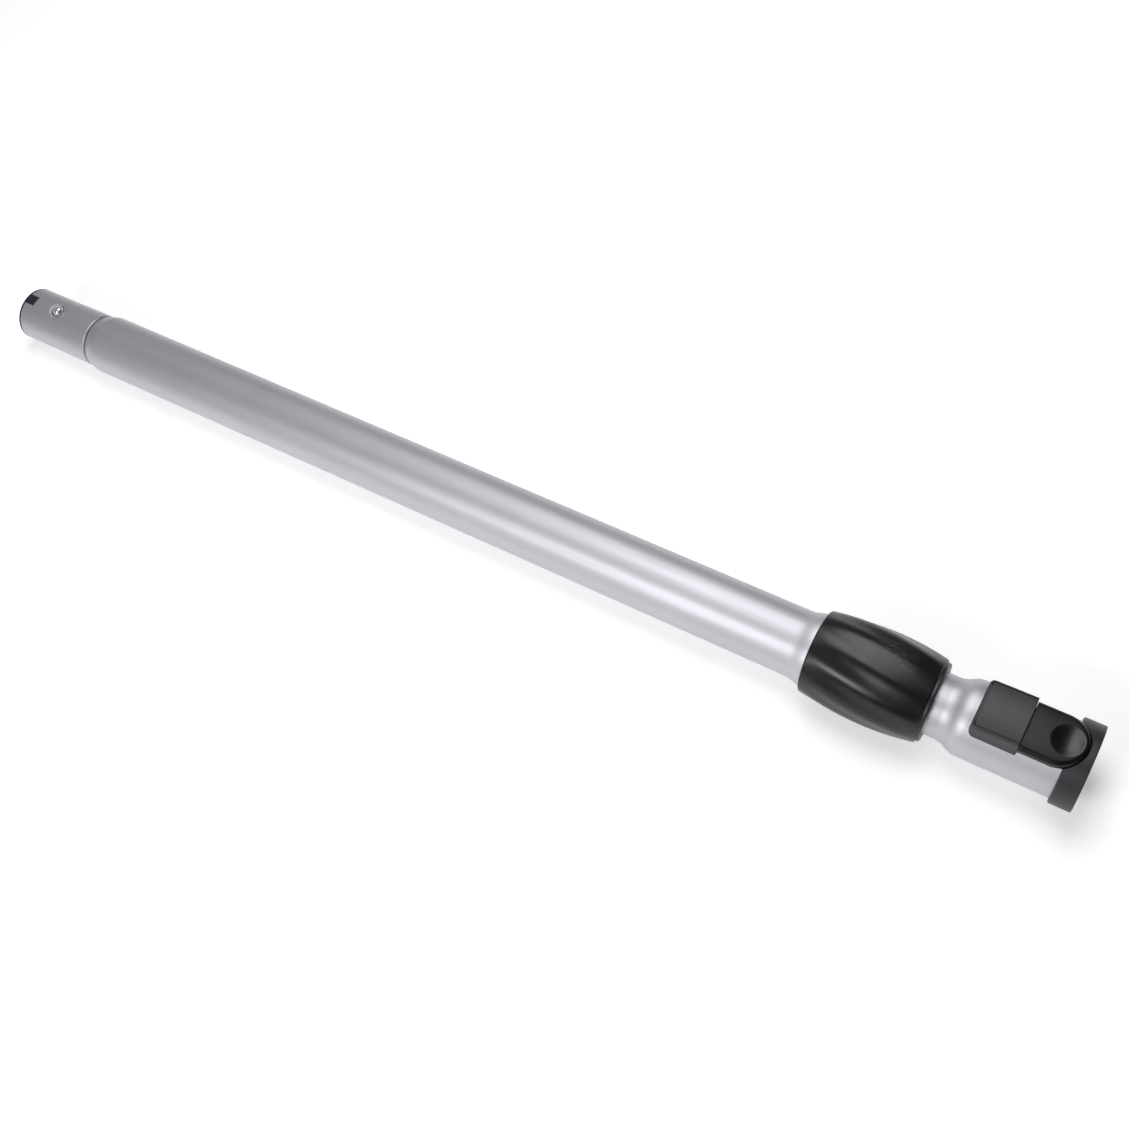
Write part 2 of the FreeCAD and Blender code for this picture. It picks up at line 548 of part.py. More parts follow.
# Lip seal that wipes the inner tube
def make_lip_seal():
    body = new_body("lip_seal")
    stop = f"({RING_START} - dim.seal_gap)"
    start = f"({stop} - dim.seal_length)"
    groove = f"{GUIDE_BORE} + dim.lip_depth"
    turned(body, "seal", [
        (start, SEAL_RADIUS), (stop, SEAL_RADIUS), (stop, GUIDE_BORE),
        (f"{stop} - dim.lip_width", GUIDE_BORE),
        (f"{stop} - dim.lip_width - dim.lip_depth", groove), (f"{start} + dim.lip_width", groove),
        (f"{start} + dim.lip_width / 2", GUIDE_BORE), (start, GUIDE_BORE)])
    return body


# End ring that closes the lock body and shows as a thin lip
def make_end_ring():
    body = new_body("end_ring")
    bore = "(dim.slide_radius + dim.ring_gap)"
    turned(body, "ring", [
        (RING_START, bore), (RING_START, LOCK_RADIUS),
        (f"{RING_END} - dim.ring_round", LOCK_RADIUS, "dim.ring_round", "-"),
        (RING_END, f"{LOCK_RADIUS} - dim.ring_round"), (RING_END, f"{bore} + dim.ring_bevel"),
        (f"{RING_END} - dim.ring_bevel", bore)])
    return body


# Lock roller, held down by the sleeve and lifted out when it slides
def make_lock_roller():
    body = new_body("lock_roller")
    across(body, "roller", circle(ROLLER_PLACE, ROLLER_HEIGHT, "dim.roller_radius"), "dim.roller_length")
    return body


def barrel_radius(x):
    """Outside radius of the release sleeve on the crest of its flutes."""
    half = num("dim.sleeve_length") / 2
    rise = num("dim.sleeve_belly") - num("dim.sleeve_rim")
    arc = (half ** 2 + rise ** 2) / (2 * rise)
    away = x - num(SLEEVE_START) - half
    return num(BELLY_RADIUS) - arc + math.sqrt(arc ** 2 - away ** 2)


def fluted_radius(x, angle):
    """The same with the twisted flutes, which fade out at both ends. The
    angle, in radians, is counted from the underside about +X."""
    half = num("dim.sleeve_length") / 2
    away = x - num(SLEEVE_START) - half
    fade = max(0.0, 1.0 - abs(away / half) ** 3)
    turn = angle - math.radians(num("dim.lobe_twist")) * away
    dip = (1 + math.cos(num("dim.lobe_count") * turn)) / 2
    return barrel_radius(x) - num("dim.lobe_depth") * fade * dip


def fluted_form():
    """The sleeve's outside as one solid, lofted through fluted sections."""
    points_per_lobe, stations = 4, 11
    samples = points_per_lobe * round(num("dim.lobe_count"))
    wires = []
    for i in range(stations):
        x = num(SLEEVE_START) + num("dim.sleeve_length") * i / (stations - 1)
        ring = []
        for k in range(samples):
            angle = 2 * math.pi * (k + 0.5) / samples
            radius = fluted_radius(x, angle)
            ring.append(FreeCAD.Vector(x, radius * math.sin(angle), -radius * math.cos(angle)))
        curve = Part.BSplineCurve()
        curve.interpolate(ring, PeriodicFlag=True)
        wires.append(Part.Wire(curve.toShape()))
    form = doc.addObject("Part::Feature", "sleeve_form")
    form.Shape = Part.makeLoft(wires, True, False)
    return form


def land_radius(height):
    """Radius that clears the ends of the lock roller at a height."""
    top = f"({height} + dim.roller_radius)"
    return f"(sqrt({top} ^ 2 + dim.roller_length ^ 2 / 4) + dim.land_gap)"


# Release sleeve: a barrel with twisted flutes over the whole lock
def make_slide_sleeve():
    bore = new_body("sleeve_bore")
    skirt = f"({CUP_RADIUS} + dim.sleeve_gap)"
    rib = f"({HUB_RADIUS} + dim.rib_gap)"
    land = land_radius(ROLLER_HEIGHT)
    lifted = land_radius(f"({ROLLER_HEIGHT} + dim.roller_lift)")
    ramp_end = f"({ROLLER_PLACE} + dim.sleeve_travel)"
    land_end = f"({ramp_end} + dim.land_length)"
    tail = f"({LOCK_RADIUS} + dim.lock_gap)"
    chamber = f"{CUP_END} - dim.sleeve_travel"
    edge = f"({RIM_RADIUS} - dim.sleeve_bevel)"
    wide = f"({BELLY_RADIUS} + dim.tool_spare)"
    turned(bore, "bore", [
        (SLEEVE_START, skirt), (SLEEVE_START, edge), (f"{SLEEVE_START} + {wide} - {edge}", wide),
        (f"{SLEEVE_END} - ({wide} - {edge})", wide), (SLEEVE_END, edge), (SLEEVE_END, tail),
        (land_end, tail), (land_end, lifted), (ramp_end, lifted), (ROLLER_PLACE, land), (RIB_END, land),
        (RIB_END, rib), (RIB_START, rib), (RIB_START, CHAMBER_RADIUS),
        (chamber, CHAMBER_RADIUS), (chamber, skirt)])
    sleeve = doc.addObject("Part::Common", "slide_sleeve")
    sleeve.Base = bore
    sleeve.Tool = fluted_form()
    sleeve.Label = "slide_sleeve"
    return sleeve


# Return spring of the release sleeve: a coil round the wand's axis
def make_sleeve_spring():
    helix = doc.addObject("Part::Helix", "sleeve_spring_path")
    room = f"({RIB_START} - {SEAT_END} - dim.spring_wire - 2 * dim.spring_gap)"
    helix.setExpression("Height", room)
    helix.setExpression("Pitch", f"{room} / dim.spring_turns")
    helix.setExpression("Radius", f"({HUB_RADIUS} + {CHAMBER_RADIUS}) / 2")
    start = num(f"{SEAT_END} + dim.spring_wire / 2 + dim.spring_gap")
    along = FreeCAD.Rotation(FreeCAD.Vector(0, 1, 0), 90)
    helix.Placement = FreeCAD.Placement(FreeCAD.Vector(start, 0, 0), along)
    doc.recompute()
    first = helix.Shape.Edges[0]
    tangent = first.tangentAt(first.FirstParameter)
    section = doc.addObject("Part::Circle", "sleeve_spring_wire")
    section.setExpression("Radius", "dim.spring_wire / 2")
    section.Placement = FreeCAD.Placement(first.valueAt(first.FirstParameter),
                                          FreeCAD.Rotation(FreeCAD.Vector(0, 0, 1), tangent))
    spring = doc.addObject("Part::Sweep", "sleeve_spring")
    spring.Sections = [section]
    spring.Spine = (helix, [f"Edge{i + 1}" for i in range(len(helix.Shape.Edges))])
    spring.Solid = True
    spring.Frenet = True
    spring.Label = "sleeve_spring"
    return spring


# Return spring of the latch lever: a bowed leaf between tail and ceiling
def make_latch_spring():
    body = new_body("latch_spring")
    start = f"({LATCH_SPRING_PLACE} - dim.latch_spring_length / 2)"
    stop = f"({LATCH_SPRING_PLACE} + dim.latch_spring_length / 2)"
    low = f"({TAIL_TOP} + dim.spring_gap)"
    high = f"({low} + dim.latch_spring_thick)"
    bow = f"({CEILING} - dim.spring_gap - {high})"
    arc = f"((dim.latch_spring_length ^ 2 / 4 + {bow} ^ 2) / (2 * {bow}))"
    across(body, "leaf", drawn([(start, low, arc, "-"), (stop, low), (stop, high, arc), (start, high)]),
           "dim.latch_spring_width")
    return body


# Inner tube: plain slide with lock notches, widened to the socket
def make_inner_tube():
    body = new_body("inner_tube")
    outside = [(TUBE_START, "dim.slide_radius")]
    outside += swell(SWELL_START, "dim.swell_length", "dim.slide_radius", SOCKET_RADIUS)
    outside += [(SWELL_END, SOCKET_RADIUS), (TUBE_END, SOCKET_RADIUS)]
    turned(body, "tube_wall", outside + inside_of(outside))
    notch = "(dim.roller_radius + dim.notch_gap)"
    height = f"(dim.slide_radius - dim.notch_depth + {notch})"
    first = across(body, "lock_notch", circle(ROLLER_PLACE, height, notch), "dim.slide_radius",
                   "PartDesign::Pocket")
    row = body.newObject("PartDesign::LinearPattern", "lock_notches")
    row.Originals = [first]
    row.Direction = (first.Profile[0], ["H_Axis"])
    row.Reversed = True
    row.setExpression("Length", "floor(dim.travel / dim.notch_pitch) * dim.notch_pitch")
    row.setExpression("Occurrences", "floor(dim.travel / dim.notch_pitch) + 1")
    body.Tip = row
    tooth_slot(body)
    half = "dim.lever_half_width - dim.window_margin"
    cut_above(body, "lever_window", slot(POCKET_START, LEVER_ROOM_END, half), f"2 * {SOCKET_RADIUS}")
    return body


# Glide bush on the lower end of the inner tube
def make_glide_bush():
    body = new_body("glide_bush")
    bore, seat = f"{SLIDE_BORE} + dim.lip_sink", "(dim.slide_radius + dim.seat_gap)"
    run = f"({OUTER_BORE} - dim.run_gap)"
    turned(body, "bush", [
        (BUSH_START, bore), (BUSH_START, f"{run} - dim.rim_bevel"), (f"{BUSH_START} + dim.rim_bevel", run),
        (BUSH_END, run), (BUSH_END, seat), (TUBE_START, seat), (TUBE_START, bore)])
    return body


# Socket collar: liner of the socket and ring round its mouth, in one
def make_socket_collar():
    ring = new_body("collar_ring")
    edge = f"({COLLAR_RADIUS} - dim.collar_round)"
    turned(ring, "liner", [
        (LINER_START, SOCKET_LIP), (LINER_START, f"{LINER_RADIUS} - dim.liner_back"),
        (f"{LINER_START} + dim.liner_back", LINER_RADIUS), (TUBE_END, LINER_RADIUS), (TUBE_END, SOCKET_SEAT),
        (COLLAR_START, SOCKET_SEAT), (COLLAR_START, edge),
        (f"{COLLAR_START} + dim.collar_round", COLLAR_RADIUS),
        (f"{MOUTH} - dim.collar_round", COLLAR_RADIUS, "dim.collar_round", "-"), (MOUTH, edge),
        (MOUTH, f"{SOCKET_FIT} + dim.mouth_bevel"), (f"{MOUTH} - dim.mouth_bevel", SOCKET_FIT),
        (FIT_START, SOCKET_FIT), (f"{FIT_START} - dim.relief_depth", SOCKET_RELIEF),
        (SOCKET_STOP, SOCKET_RELIEF), (SOCKET_STOP, SOCKET_LIP)])
    tooth_slot(ring)

    room = new_body("lever_room")
    raised(room, "room", round_ended(POCKET_START, LEVER_CENTRE, "(dim.lever_half_width + dim.pocket_gap)"),
           "0", f"{LEVER_TOP} + dim.tool_spare")
    floor = doc.addObject("Part::Cylinder", "lever_room_floor")
    floor.setExpression("Radius", POCKET_FLOOR)
    floor.setExpression("Height", f"{MOUTH} - {COVER_START}")
    along = FreeCAD.Rotation(FreeCAD.Vector(0, 1, 0), 90)
    floor.Placement = FreeCAD.Placement(FreeCAD.Vector(0, 0, 0), along)
    floor.setExpression("Placement.Base.x", COVER_START)
    pocket = doc.addObject("Part::Cut", "lever_pocket")
    pocket.Base = room
    pocket.Tool = floor
    collar = doc.addObject("Part::Cut", "socket_collar")
    collar.Base = ring
    collar.Tool = pocket
    collar.Label = "socket_collar"
    return collar


# Face seal that the mating spigot's rim presses on
def make_socket_seal():
    body = new_body("socket_seal")
    stop = f"({SOCKET_STOP} + dim.socket_seal_thick)"
    bore, edge = f"{SOCKET_LIP} + dim.socket_seal_sink", f"{SOCKET_RELIEF} - dim.seat_gap"
    turned(body, "seal", [(SOCKET_STOP, bore), (SOCKET_STOP, edge), (stop, edge), (stop, bore)])
    return body


def rounded_roof(body):
    """Round the edge of the hood's highest face."""
    doc.recompute()
    roof = max(body.Shape.Faces, key=lambda face: face.CenterOfMass.z)
    names = []
    for i, edge in enumerate(body.Shape.Edges, start=1):
        if any(edge.isSame(other) for other in roof.Edges):
            names.append(f"Edge{i}")
    roofed = body.Tip
    rounding = body.newObject("PartDesign::Fillet", "roof_edge")
    rounding.Base = (roofed, names)
    rounding.Radius = num("dim.cover_edge")
    rounding.setExpression("Radius", "dim.cover_edge")
    body.Tip = rounding


# Latch cover: a hood on the socket over the lever's pivot and spring
def make_latch_cover():
    body = new_body("latch_cover")
    foot = f"(sqrt({SOCKET_RADIUS} ^ 2 - dim.cover_half_width ^ 2) - dim.cover_sink)"
    half, turn = "dim.cover_half_width", "dim.cover_corner"
    corner, above = f"({COVER_START} + {turn})", f"{COVER_HIGH} + 2 * dim.tool_spare"
    hood = raised(body, "hood", drawn([
        (COVER_END, f"-{half}"), (COVER_END, half), (corner, half, turn), (COVER_START, f"{half} - {turn}"),
        (COVER_START, f"-({half} - {turn})", turn), (corner, f"-{half}")]), foot,
        f"{COVER_HIGH} + dim.tool_spare - {foot}")
    hood.TaperAngle = -1
    hood.setExpression("TaperAngle", "-dim.cover_taper")
    drop = "dim.tool_spare * (dim.cover_rise - dim.cover_rise_low) / dim.cover_length"
    behind, before = f"{COVER_START} - dim.tool_spare", f"{COVER_END} + dim.tool_spare"
    wide = "4 * dim.cover_half_width"
    across(body, "roof", drawn([(behind, f"{COVER_LOW} - {drop}"), (before, f"{COVER_HIGH} + {drop}"),
                                (before, above), (behind, above)]), wide, "PartDesign::Pocket")
    rounded_roof(body)
    turned(body, "saddle", [(behind, "0"), (before, "0"), (before, SOCKET_SEAT), (behind, SOCKET_SEAT)],
           "PartDesign::Groove")
    lip = f"({COVER_END} - dim.cover_wall)"
    inner = "(dim.cover_half_width - dim.cover_wall - dim.cover_slope_room)"
    cut_above(body, "cavity", slot(f"{COVER_START} + dim.cover_wall", lip, inner), CEILING)
    cut_above(body, "mouth", slot(f"{lip} - dim.joint_root", before, inner), f"{LEVER_TOP} + dim.mouth_gap")
    across(body, "pin_holes", circle(PIVOT_PLACE, PIVOT_HEIGHT, "dim.pin_radius + dim.pin_fit"),
           "2 * (dim.pin_half_length + dim.pin_end_gap)", "PartDesign::Pocket")
    return body


def arch_under(body):
    """Hollow the lever's underside so that it rides clear of the socket."""
    half, low = "dim.lever_half_width", f"{LEVER_FOOT} - dim.tool_spare"
    rise = f"({LEVER_UNDER} - {LEVER_FOOT})"
    arch = f"(({rise} ^ 2 + {half} ^ 2) / (2 * {rise}))"
    sketch = new_sketch(body, "arch_outline", "YZ_Plane", f"{LEVER_START} - dim.tool_spare")
    outline(sketch, [(f"-{half}", LEVER_FOOT), (f"-{half}", low), (half, low), (half, LEVER_FOOT, arch),
                     ("0", LEVER_UNDER, arch)])
    arched = body.newObject("PartDesign::Pocket", "arched_foot")
    arched.Profile = sketch
    arched.Type = 0
    arched.Reversed = True
    arched.setExpression("Length", f"{LEVER_ROOM_END} - {LEVER_START} + 2 * dim.tool_spare")
    body.Tip = arched


# Latch lever: thumb plate with skirt and dish, tail under the cover
def make_latch_lever():
    body = new_body("latch_lever")
    raised(body, "plate", round_ended(LEVER_START, LEVER_CENTRE, "dim.lever_half_width"),
           LEVER_FOOT, "dim.lever_skirt")
    raised(body, "underside", round_ended(f"{LEVER_START} - dim.tool_spare", LEVER_CENTRE,
                                          "(dim.lever_half_width - dim.lever_wall)"),
           f"{LEVER_FOOT} - dim.tool_spare", f"{LEVER_UNDER} - {LEVER_FOOT} + dim.tool_spare",
           "PartDesign::Pocket")
    arch_under(body)
    raised(body, "tail", slot(f"{TOOTH_START} - dim.tail_end", f"{LEVER_START} + dim.tail_root",
                              "dim.tail_half_width"), LEVER_UNDER, "dim.tail_thick")
    across(body, "boss", circle(PIVOT_PLACE, PIVOT_HEIGHT, "dim.boss_radius"),
           "2 * (dim.tail_half_width + dim.boss_reach)")
    across(body, "pivot_hole", circle(PIVOT_PLACE, PIVOT_HEIGHT, "dim.pin_radius + dim.run_gap"),
           "2 * dim.cover_half_width", "PartDesign::Pocket")
    raised(body, "tooth_seat", slot(TOOTH_START, TOOTH_END, "dim.tooth_width / 2"),
           f"{LEVER_UNDER} - dim.tool_spare", "dim.tooth_seat + dim.tool_spare", "PartDesign::Pocket")
    radius = "((dim.dish_radius ^ 2 + dim.dish_depth ^ 2) / (2 * dim.dish_depth))"
    above = f"{LEVER_TOP} + dim.tool_spare"
    turned_upright(body, "thumb_dish", DISH_PLACE, [
        ("0", f"{LEVER_TOP} - dim.dish_depth", radius), ("dim.dish_radius", LEVER_TOP),
        ("dim.dish_radius", above), ("0", above)], "PartDesign::Groove")
    return body


# Steel catch tooth set in the lever's tail
def make_latch_tooth():
    body = new_body("latch_tooth")
    low, high = f"({TOOTH_START} + dim.tooth_fit)", f"({TOOTH_END} - dim.tooth_fit)"
    tip, top = f"({SOCKET_FIT} - dim.tooth_reach)", f"({LEVER_UNDER} + dim.tooth_seat)"
    across(body, "tooth", drawn([
        (low, top), (low, f"{tip} + dim.tooth_bevel"), (f"{low} + dim.tooth_bevel", tip),
        (f"{high} - dim.tooth_ramp", tip), (high, f"{tip} + dim.tooth_ramp"), (high, top)]),
        "dim.tooth_width - 2 * dim.tooth_fit")
    return body


# Latch pin across the cover
def make_latch_pin():
    body = new_body("latch_pin")
    across(body, "pin", circle(PIVOT_PLACE, PIVOT_HEIGHT, "dim.pin_radius"), "2 * dim.pin_half_length")
    return body


PIECES = [
    make_outer_tube(), make_spigot_insert(), make_snap_ball(), make_snap_spring(),
    make_guide_bush(), make_lock_body(), make_lip_seal(), make_end_ring(), make_lock_roller(),
    make_slide_sleeve(), make_sleeve_spring(), make_inner_tube(), make_glide_bush(),
    make_socket_collar(), make_socket_seal(), make_latch_cover(), make_latch_lever(),
    make_latch_tooth(), make_latch_pin(), make_latch_spring(),
]


def resting_placement():
    """Lying on a table: the sleeve's underside and the shoulder behind the
    spigot touch it, and the origin is under the middle of the wand."""
    side, step, stations = math.radians(20), math.radians(0.25), 40
    angles = [i * step - side for i in range(round(2 * side / step) + 1)]
    shoulder, radius = num(SHOULDER_END), num(OUTER_RADIUS)
    lean = 0
    for i in range(stations + 1):
        place = num(SLEEVE_START) + num("dim.sleeve_length") * i / stations
        lowest = max(fluted_radius(place, a) * math.cos(a) for a in angles)
        lean = max(lean, math.atan2(lowest - radius, place - shoulder))
    sine, cosine = math.sin(lean), math.cos(lean)
    half = (num(MOUTH) * cosine + num(f"{COLLAR_RADIUS} - {NOSE_RADIUS}") * sine) / 2
    base = FreeCAD.Vector(-half, 0, radius * cosine - shoulder * sine)
    return FreeCAD.Placement(base, FreeCAD.Rotation(FreeCAD.Vector(0, -1, 0), math.degrees(lean)))


doc.recompute()
rest = resting_placement()
for piece in PIECES:
    piece.Placement = rest
doc.recompute()

for thing in doc.Objects:
    if "Invalid" in thing.State or "Error" in thing.State:
        raise RuntimeError(f"{thing.Name} failed: {thing.State}")
for piece in PIECES:
    if piece.Shape.isNull() or not piece.Shape.isValid():
        raise RuntimeError(f"{piece.Label} has no valid shape")

os.makedirs("parts", exist_ok=True)
for piece in PIECES:
    piece.Shape.exportStep(f"parts/{piece.Label}.step")
    print(f"{piece.Label}: {len(piece.Shape.Solids)} solid, {piece.Shape.Volume:.1f} cubic millimetres")
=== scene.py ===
import json
import math

import bmesh
import bpy
from mathutils import Matrix, Vector


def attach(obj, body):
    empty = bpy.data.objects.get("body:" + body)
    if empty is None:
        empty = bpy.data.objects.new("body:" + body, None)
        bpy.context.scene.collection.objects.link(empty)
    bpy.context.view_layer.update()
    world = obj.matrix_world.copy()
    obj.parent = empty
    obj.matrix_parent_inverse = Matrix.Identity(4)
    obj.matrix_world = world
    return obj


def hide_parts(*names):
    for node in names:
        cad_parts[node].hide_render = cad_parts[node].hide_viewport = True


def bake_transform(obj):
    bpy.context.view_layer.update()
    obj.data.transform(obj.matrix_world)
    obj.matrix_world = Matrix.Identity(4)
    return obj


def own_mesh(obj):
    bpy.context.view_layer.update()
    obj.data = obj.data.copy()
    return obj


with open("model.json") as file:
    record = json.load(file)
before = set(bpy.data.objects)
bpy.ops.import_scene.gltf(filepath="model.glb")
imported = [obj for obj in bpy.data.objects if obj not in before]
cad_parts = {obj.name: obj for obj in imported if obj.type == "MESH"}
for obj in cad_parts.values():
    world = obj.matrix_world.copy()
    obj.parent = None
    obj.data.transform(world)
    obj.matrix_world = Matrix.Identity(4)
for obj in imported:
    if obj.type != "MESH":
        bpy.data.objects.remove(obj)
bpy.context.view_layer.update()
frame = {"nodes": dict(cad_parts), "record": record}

bl_info = {
    "name": "Telescopic vacuum wand",
    "version": (1, 0, 0),
    "blender": (4, 5, 0),
    "location": "3D View > Sidebar > Wand",
    "description": "Builds the finishes, the finer pieces and the stage of a telescopic vacuum wand",
    "category": "Object",
}

# The wand's frame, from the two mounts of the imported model
MM = 0.001
SPIGOT_MOUNT_PLACE = 42.0
MOUNTS = {mount["name"]: mount for mount in frame["record"]["mounts"]}
ALONG = Vector(MOUNTS["socket"]["axis"]).normalized()
SIDE = Vector((0, 1, 0))
UP = ALONG.cross(SIDE)
RIM = Vector(MOUNTS["spigot"]["pos_m"]) - ALONG * SPIGOT_MOUNT_PLACE * MM
TURN = Matrix((ALONG, SIDE, UP)).transposed()
WAND = Matrix.Translation(RIM) @ TURN.to_4x4() @ Matrix.Scale(MM, 4)
TO_WAND = WAND.inverted()
SPIGOT_RADIUS = MOUNTS["spigot"]["dims"]["r_mm"]


def spot(x, y, z):
    """A place in the wand's millimetres as a point of the model."""
    return WAND @ Vector((x, y, z))


def reach(node):
    """Lowest and highest corner of a CAD node in the wand's frame."""
    points = [TO_WAND @ v.co for v in frame["nodes"][node].data.vertices]
    low = Vector(min(p[i] for p in points) for i in range(3))
    high = Vector(max(p[i] for p in points) for i in range(3))
    return low, high


def bore_profile(node):
    """The inside of a turned CAD node as (x, radius) corners, in order of x.
    It is made of the faces that look within 60 degrees of the axis."""
    mesh = frame["nodes"][node].data
    corners, limit = set(), math.cos(math.radians(60))
    for face in mesh.polygons:
        centre, normal = TO_WAND @ face.center, TURN.transposed() @ face.normal
        if centre.y * normal.y + centre.z * normal.z < -limit * math.hypot(centre.y, centre.z):
            for index in face.vertices:
                point = TO_WAND @ mesh.vertices[index].co
                corners.add((round(point.x, 2), round(math.hypot(point.y, point.z), 1)))
    path = []
    for x in sorted({x for x, radius in corners}):
        before = path[-1][1] if path else 0.0
        path += sorted(((x, r) for at, r in corners if at == x), key=lambda c: abs(c[1] - before))
    return path


# Lowest and highest corners of the nodes that the pieces are built to
SLEEVE = reach("slide_sleeve")
SPRING = reach("sleeve_spring")
BALL = reach("snap_ball")
COVER = reach("latch_cover")
LEVER = reach("latch_lever")
PIN = reach("latch_pin")
BALL_LEAF = reach("snap_spring")
LEVER_LEAF = reach("latch_spring")
SOCKET_RADIUS = reach("inner_tube")[1].z

# Places that only the finishes show
# The steel's colour is darkened round this place as painted shade in the groove
GROOVE_PLACE = 54.5
SCUFFED_SPOT = (566.0, 4.0, 24.0)


def evenly(low, high, steps):
    """Evenly spaced values from low to high, with both ends."""
    return [low + (high - low) * i / steps for i in range(steps + 1)]


def bowed(x, half, rise):
    """Height at x of the round arc that rises over a chord from -half to half."""
    arc = (half ** 2 + rise ** 2) / (2 * rise)
    return rise - arc + math.sqrt(arc ** 2 - x ** 2)


def linear(code):
    """A hex colour in sRGB as a linear colour with alpha."""
    parts = [int(code[i:i + 2], 16) / 255 for i in (1, 3, 5)]
    return tuple(c / 12.92 if c <= 0.04045 else ((c + 0.055) / 1.055) ** 2.4 for c in parts) + (1.0,)


# Settings of a colour that is picked in the panel
PICKED = {"subtype": "COLOR", "size": 4, "min": 0, "max": 1}


class WandColours(bpy.types.PropertyGroup):
    """Colours of the finishes."""

    steel: bpy.props.FloatVectorProperty(
        name="Steel", description="Satin lacquered tubes", default=linear("#BDBCC2"), **PICKED)
    gloss: bpy.props.FloatVectorProperty(
        name="Gloss plastic", description="Sleeve and latch lever", default=linear("#050507"), **PICKED)
    matte: bpy.props.FloatVectorProperty(
        name="Matte plastic", description="Collar and latch cover", default=linear("#242428"), **PICKED)
    insert: bpy.props.FloatVectorProperty(
        name="Insert", description="Insert in the spigot", default=linear("#10152A"), **PICKED)
    acetal: bpy.props.FloatVectorProperty(
        name="Acetal", description="Bushes that the tubes slide on", default=linear("#E4E2D8"), **PICKED)


class SleeveSizes(bpy.types.PropertyGroup):
    """Sizes of the release sleeve and its return spring, in millimetres."""

    flutes: bpy.props.IntProperty(
        name="Flutes", description="Twisted flutes round the sleeve", default=12, min=0)
    flute_depth: bpy.props.FloatProperty(
        name="Flute depth", description="Depth of a flute at mid length", default=0.55, min=0)
    twist: bpy.props.FloatProperty(
        name="Twist", description="Turn of the flutes per mm of length", default=math.radians(0.45),
        subtype="ANGLE")
    rim_radius: bpy.props.FloatProperty(
        name="Rim radius", description="Sleeve at its ends before the rounding", default=21.5, min=0)
    belly_radius: bpy.props.FloatProperty(
        name="Belly radius", description="Crest of the sleeve at mid length", default=24.45, min=0)
    rounding: bpy.props.FloatProperty(
        name="Rounding", description="Rounding of the sleeve's ends", default=0.9, min=0)
    spring_turns: bpy.props.FloatProperty(
        name="Spring turns", description="Turns of the return spring", default=3.5, min=0)
    spring_wire: bpy.props.FloatProperty(
        name="Spring wire", description="Wire of the return spring", default=1.0, min=0)


class LatchSizes(bpy.types.PropertyGroup):
    """Sizes of the latch lever, its cover and the leaf springs, in millimetres."""

    lever_rise: bpy.props.FloatProperty(
        name="Lever rise", description="Lever's top above the socket tube", default=2.8, min=0)
    lever_crown: bpy.props.FloatProperty(
        name="Lever crown", description="Fall of the lever's top towards its sides", default=1.7, min=0)
    lever_edge: bpy.props.FloatProperty(
        name="Lever edge", description="Rounding of the lever's top edge", default=2.2, min=0.1)
    lever_plate: bpy.props.FloatProperty(
        name="Lever plate", description="Thickness of the lever's plate", default=2.0, min=0)
    lever_wall: bpy.props.FloatProperty(
        name="Lever wall", description="Thickness of the lever's skirt", default=1.3, min=0)
    dish_lead: bpy.props.FloatProperty(
        name="Dish lead", description="Thumb dish beyond the centre of the round end", default=3.5)
    dish_radius: bpy.props.FloatProperty(
        name="Dish radius", description="Radius of the thumb dish", default=7.6, min=0.1)
    dish_depth: bpy.props.FloatProperty(
        name="Dish depth", description="Depth of the thumb dish", default=1.5, min=0)
    cover_fall: bpy.props.FloatProperty(
        name="Cover fall", description="Cover's roof lower at its left end", default=1.1, min=0)
    cover_crown: bpy.props.FloatProperty(
        name="Cover crown", description="Fall of the cover's roof towards its sides", default=2.2, min=0)
    cover_edge: bpy.props.FloatProperty(
        name="Cover edge", description="Rounding of the cover's roof", default=0.9, min=0.1)
    cover_corner: bpy.props.FloatProperty(
        name="Cover corner", description="Upright corners of the cover at its left end", default=3.2, min=0.1)
    cover_taper: bpy.props.FloatProperty(
        name="Cover taper", description="Lean of the cover's sides", default=math.radians(4.6),
        subtype="ANGLE")
    cover_groove: bpy.props.FloatProperty(
        name="Cover groove", description="Shadow groove round the roof", default=0.4, min=0)
    cover_wall: bpy.props.FloatProperty(
        name="Cover wall", description="Thickness of the cover's walls", default=1.6, min=0)
    leaf_thick: bpy.props.FloatProperty(
        name="Leaf thickness", description="Sheet of the two leaf springs", default=0.4, min=0.1)
    leaf_hook: bpy.props.FloatProperty(
        name="Leaf hook", description="Hook of the ball's leaf spring beyond the ball's foot",
        default=4.0, min=0.1)


def add(tree, kind, inputs=None, **settings):
    """Add a node with its settings. Each input is a value or an output to link."""
    node = tree.nodes.new(kind)
    for name, value in settings.items():
        setattr(node, name, value)
    for name, value in (inputs or {}).items():
        if isinstance(value, bpy.types.NodeSocket):
            tree.links.new(value, node.inputs[name])
        else:
            node.inputs[name].default_value = value
    return node


def new_material(name):
    """An empty material and the wand's millimetres for its patterns."""
    material = bpy.data.materials.new(name)
    material.use_nodes = True
    tree = material.node_tree
    tree.nodes.clear()
    place = add(tree, "ShaderNodeTexCoord").outputs["Object"]
    turned = add(tree, "ShaderNodeMapping", {
        "Vector": place, "Location": TO_WAND.translation, "Scale": (1 / MM, 1 / MM, 1 / MM),
        "Rotation": TURN.transposed().to_euler()})
    return material, tree, turned.outputs["Vector"]


def close_material(material, tree, surface):
    """End a material with its surface."""
    shader = add(tree, "ShaderNodeBsdfPrincipled", surface)
    add(tree, "ShaderNodeOutputMaterial", {"Surface": shader.outputs["BSDF"]})
    return material


def shades(colour, shift):
    """A colour a little darker and a little lighter."""
    darker = tuple(c * (1 - shift) for c in colour[:3]) + (1.0,)
    lighter = tuple(min(1.0, c * (1 + shift)) for c in colour[:3]) + (1.0,)
    return darker, lighter


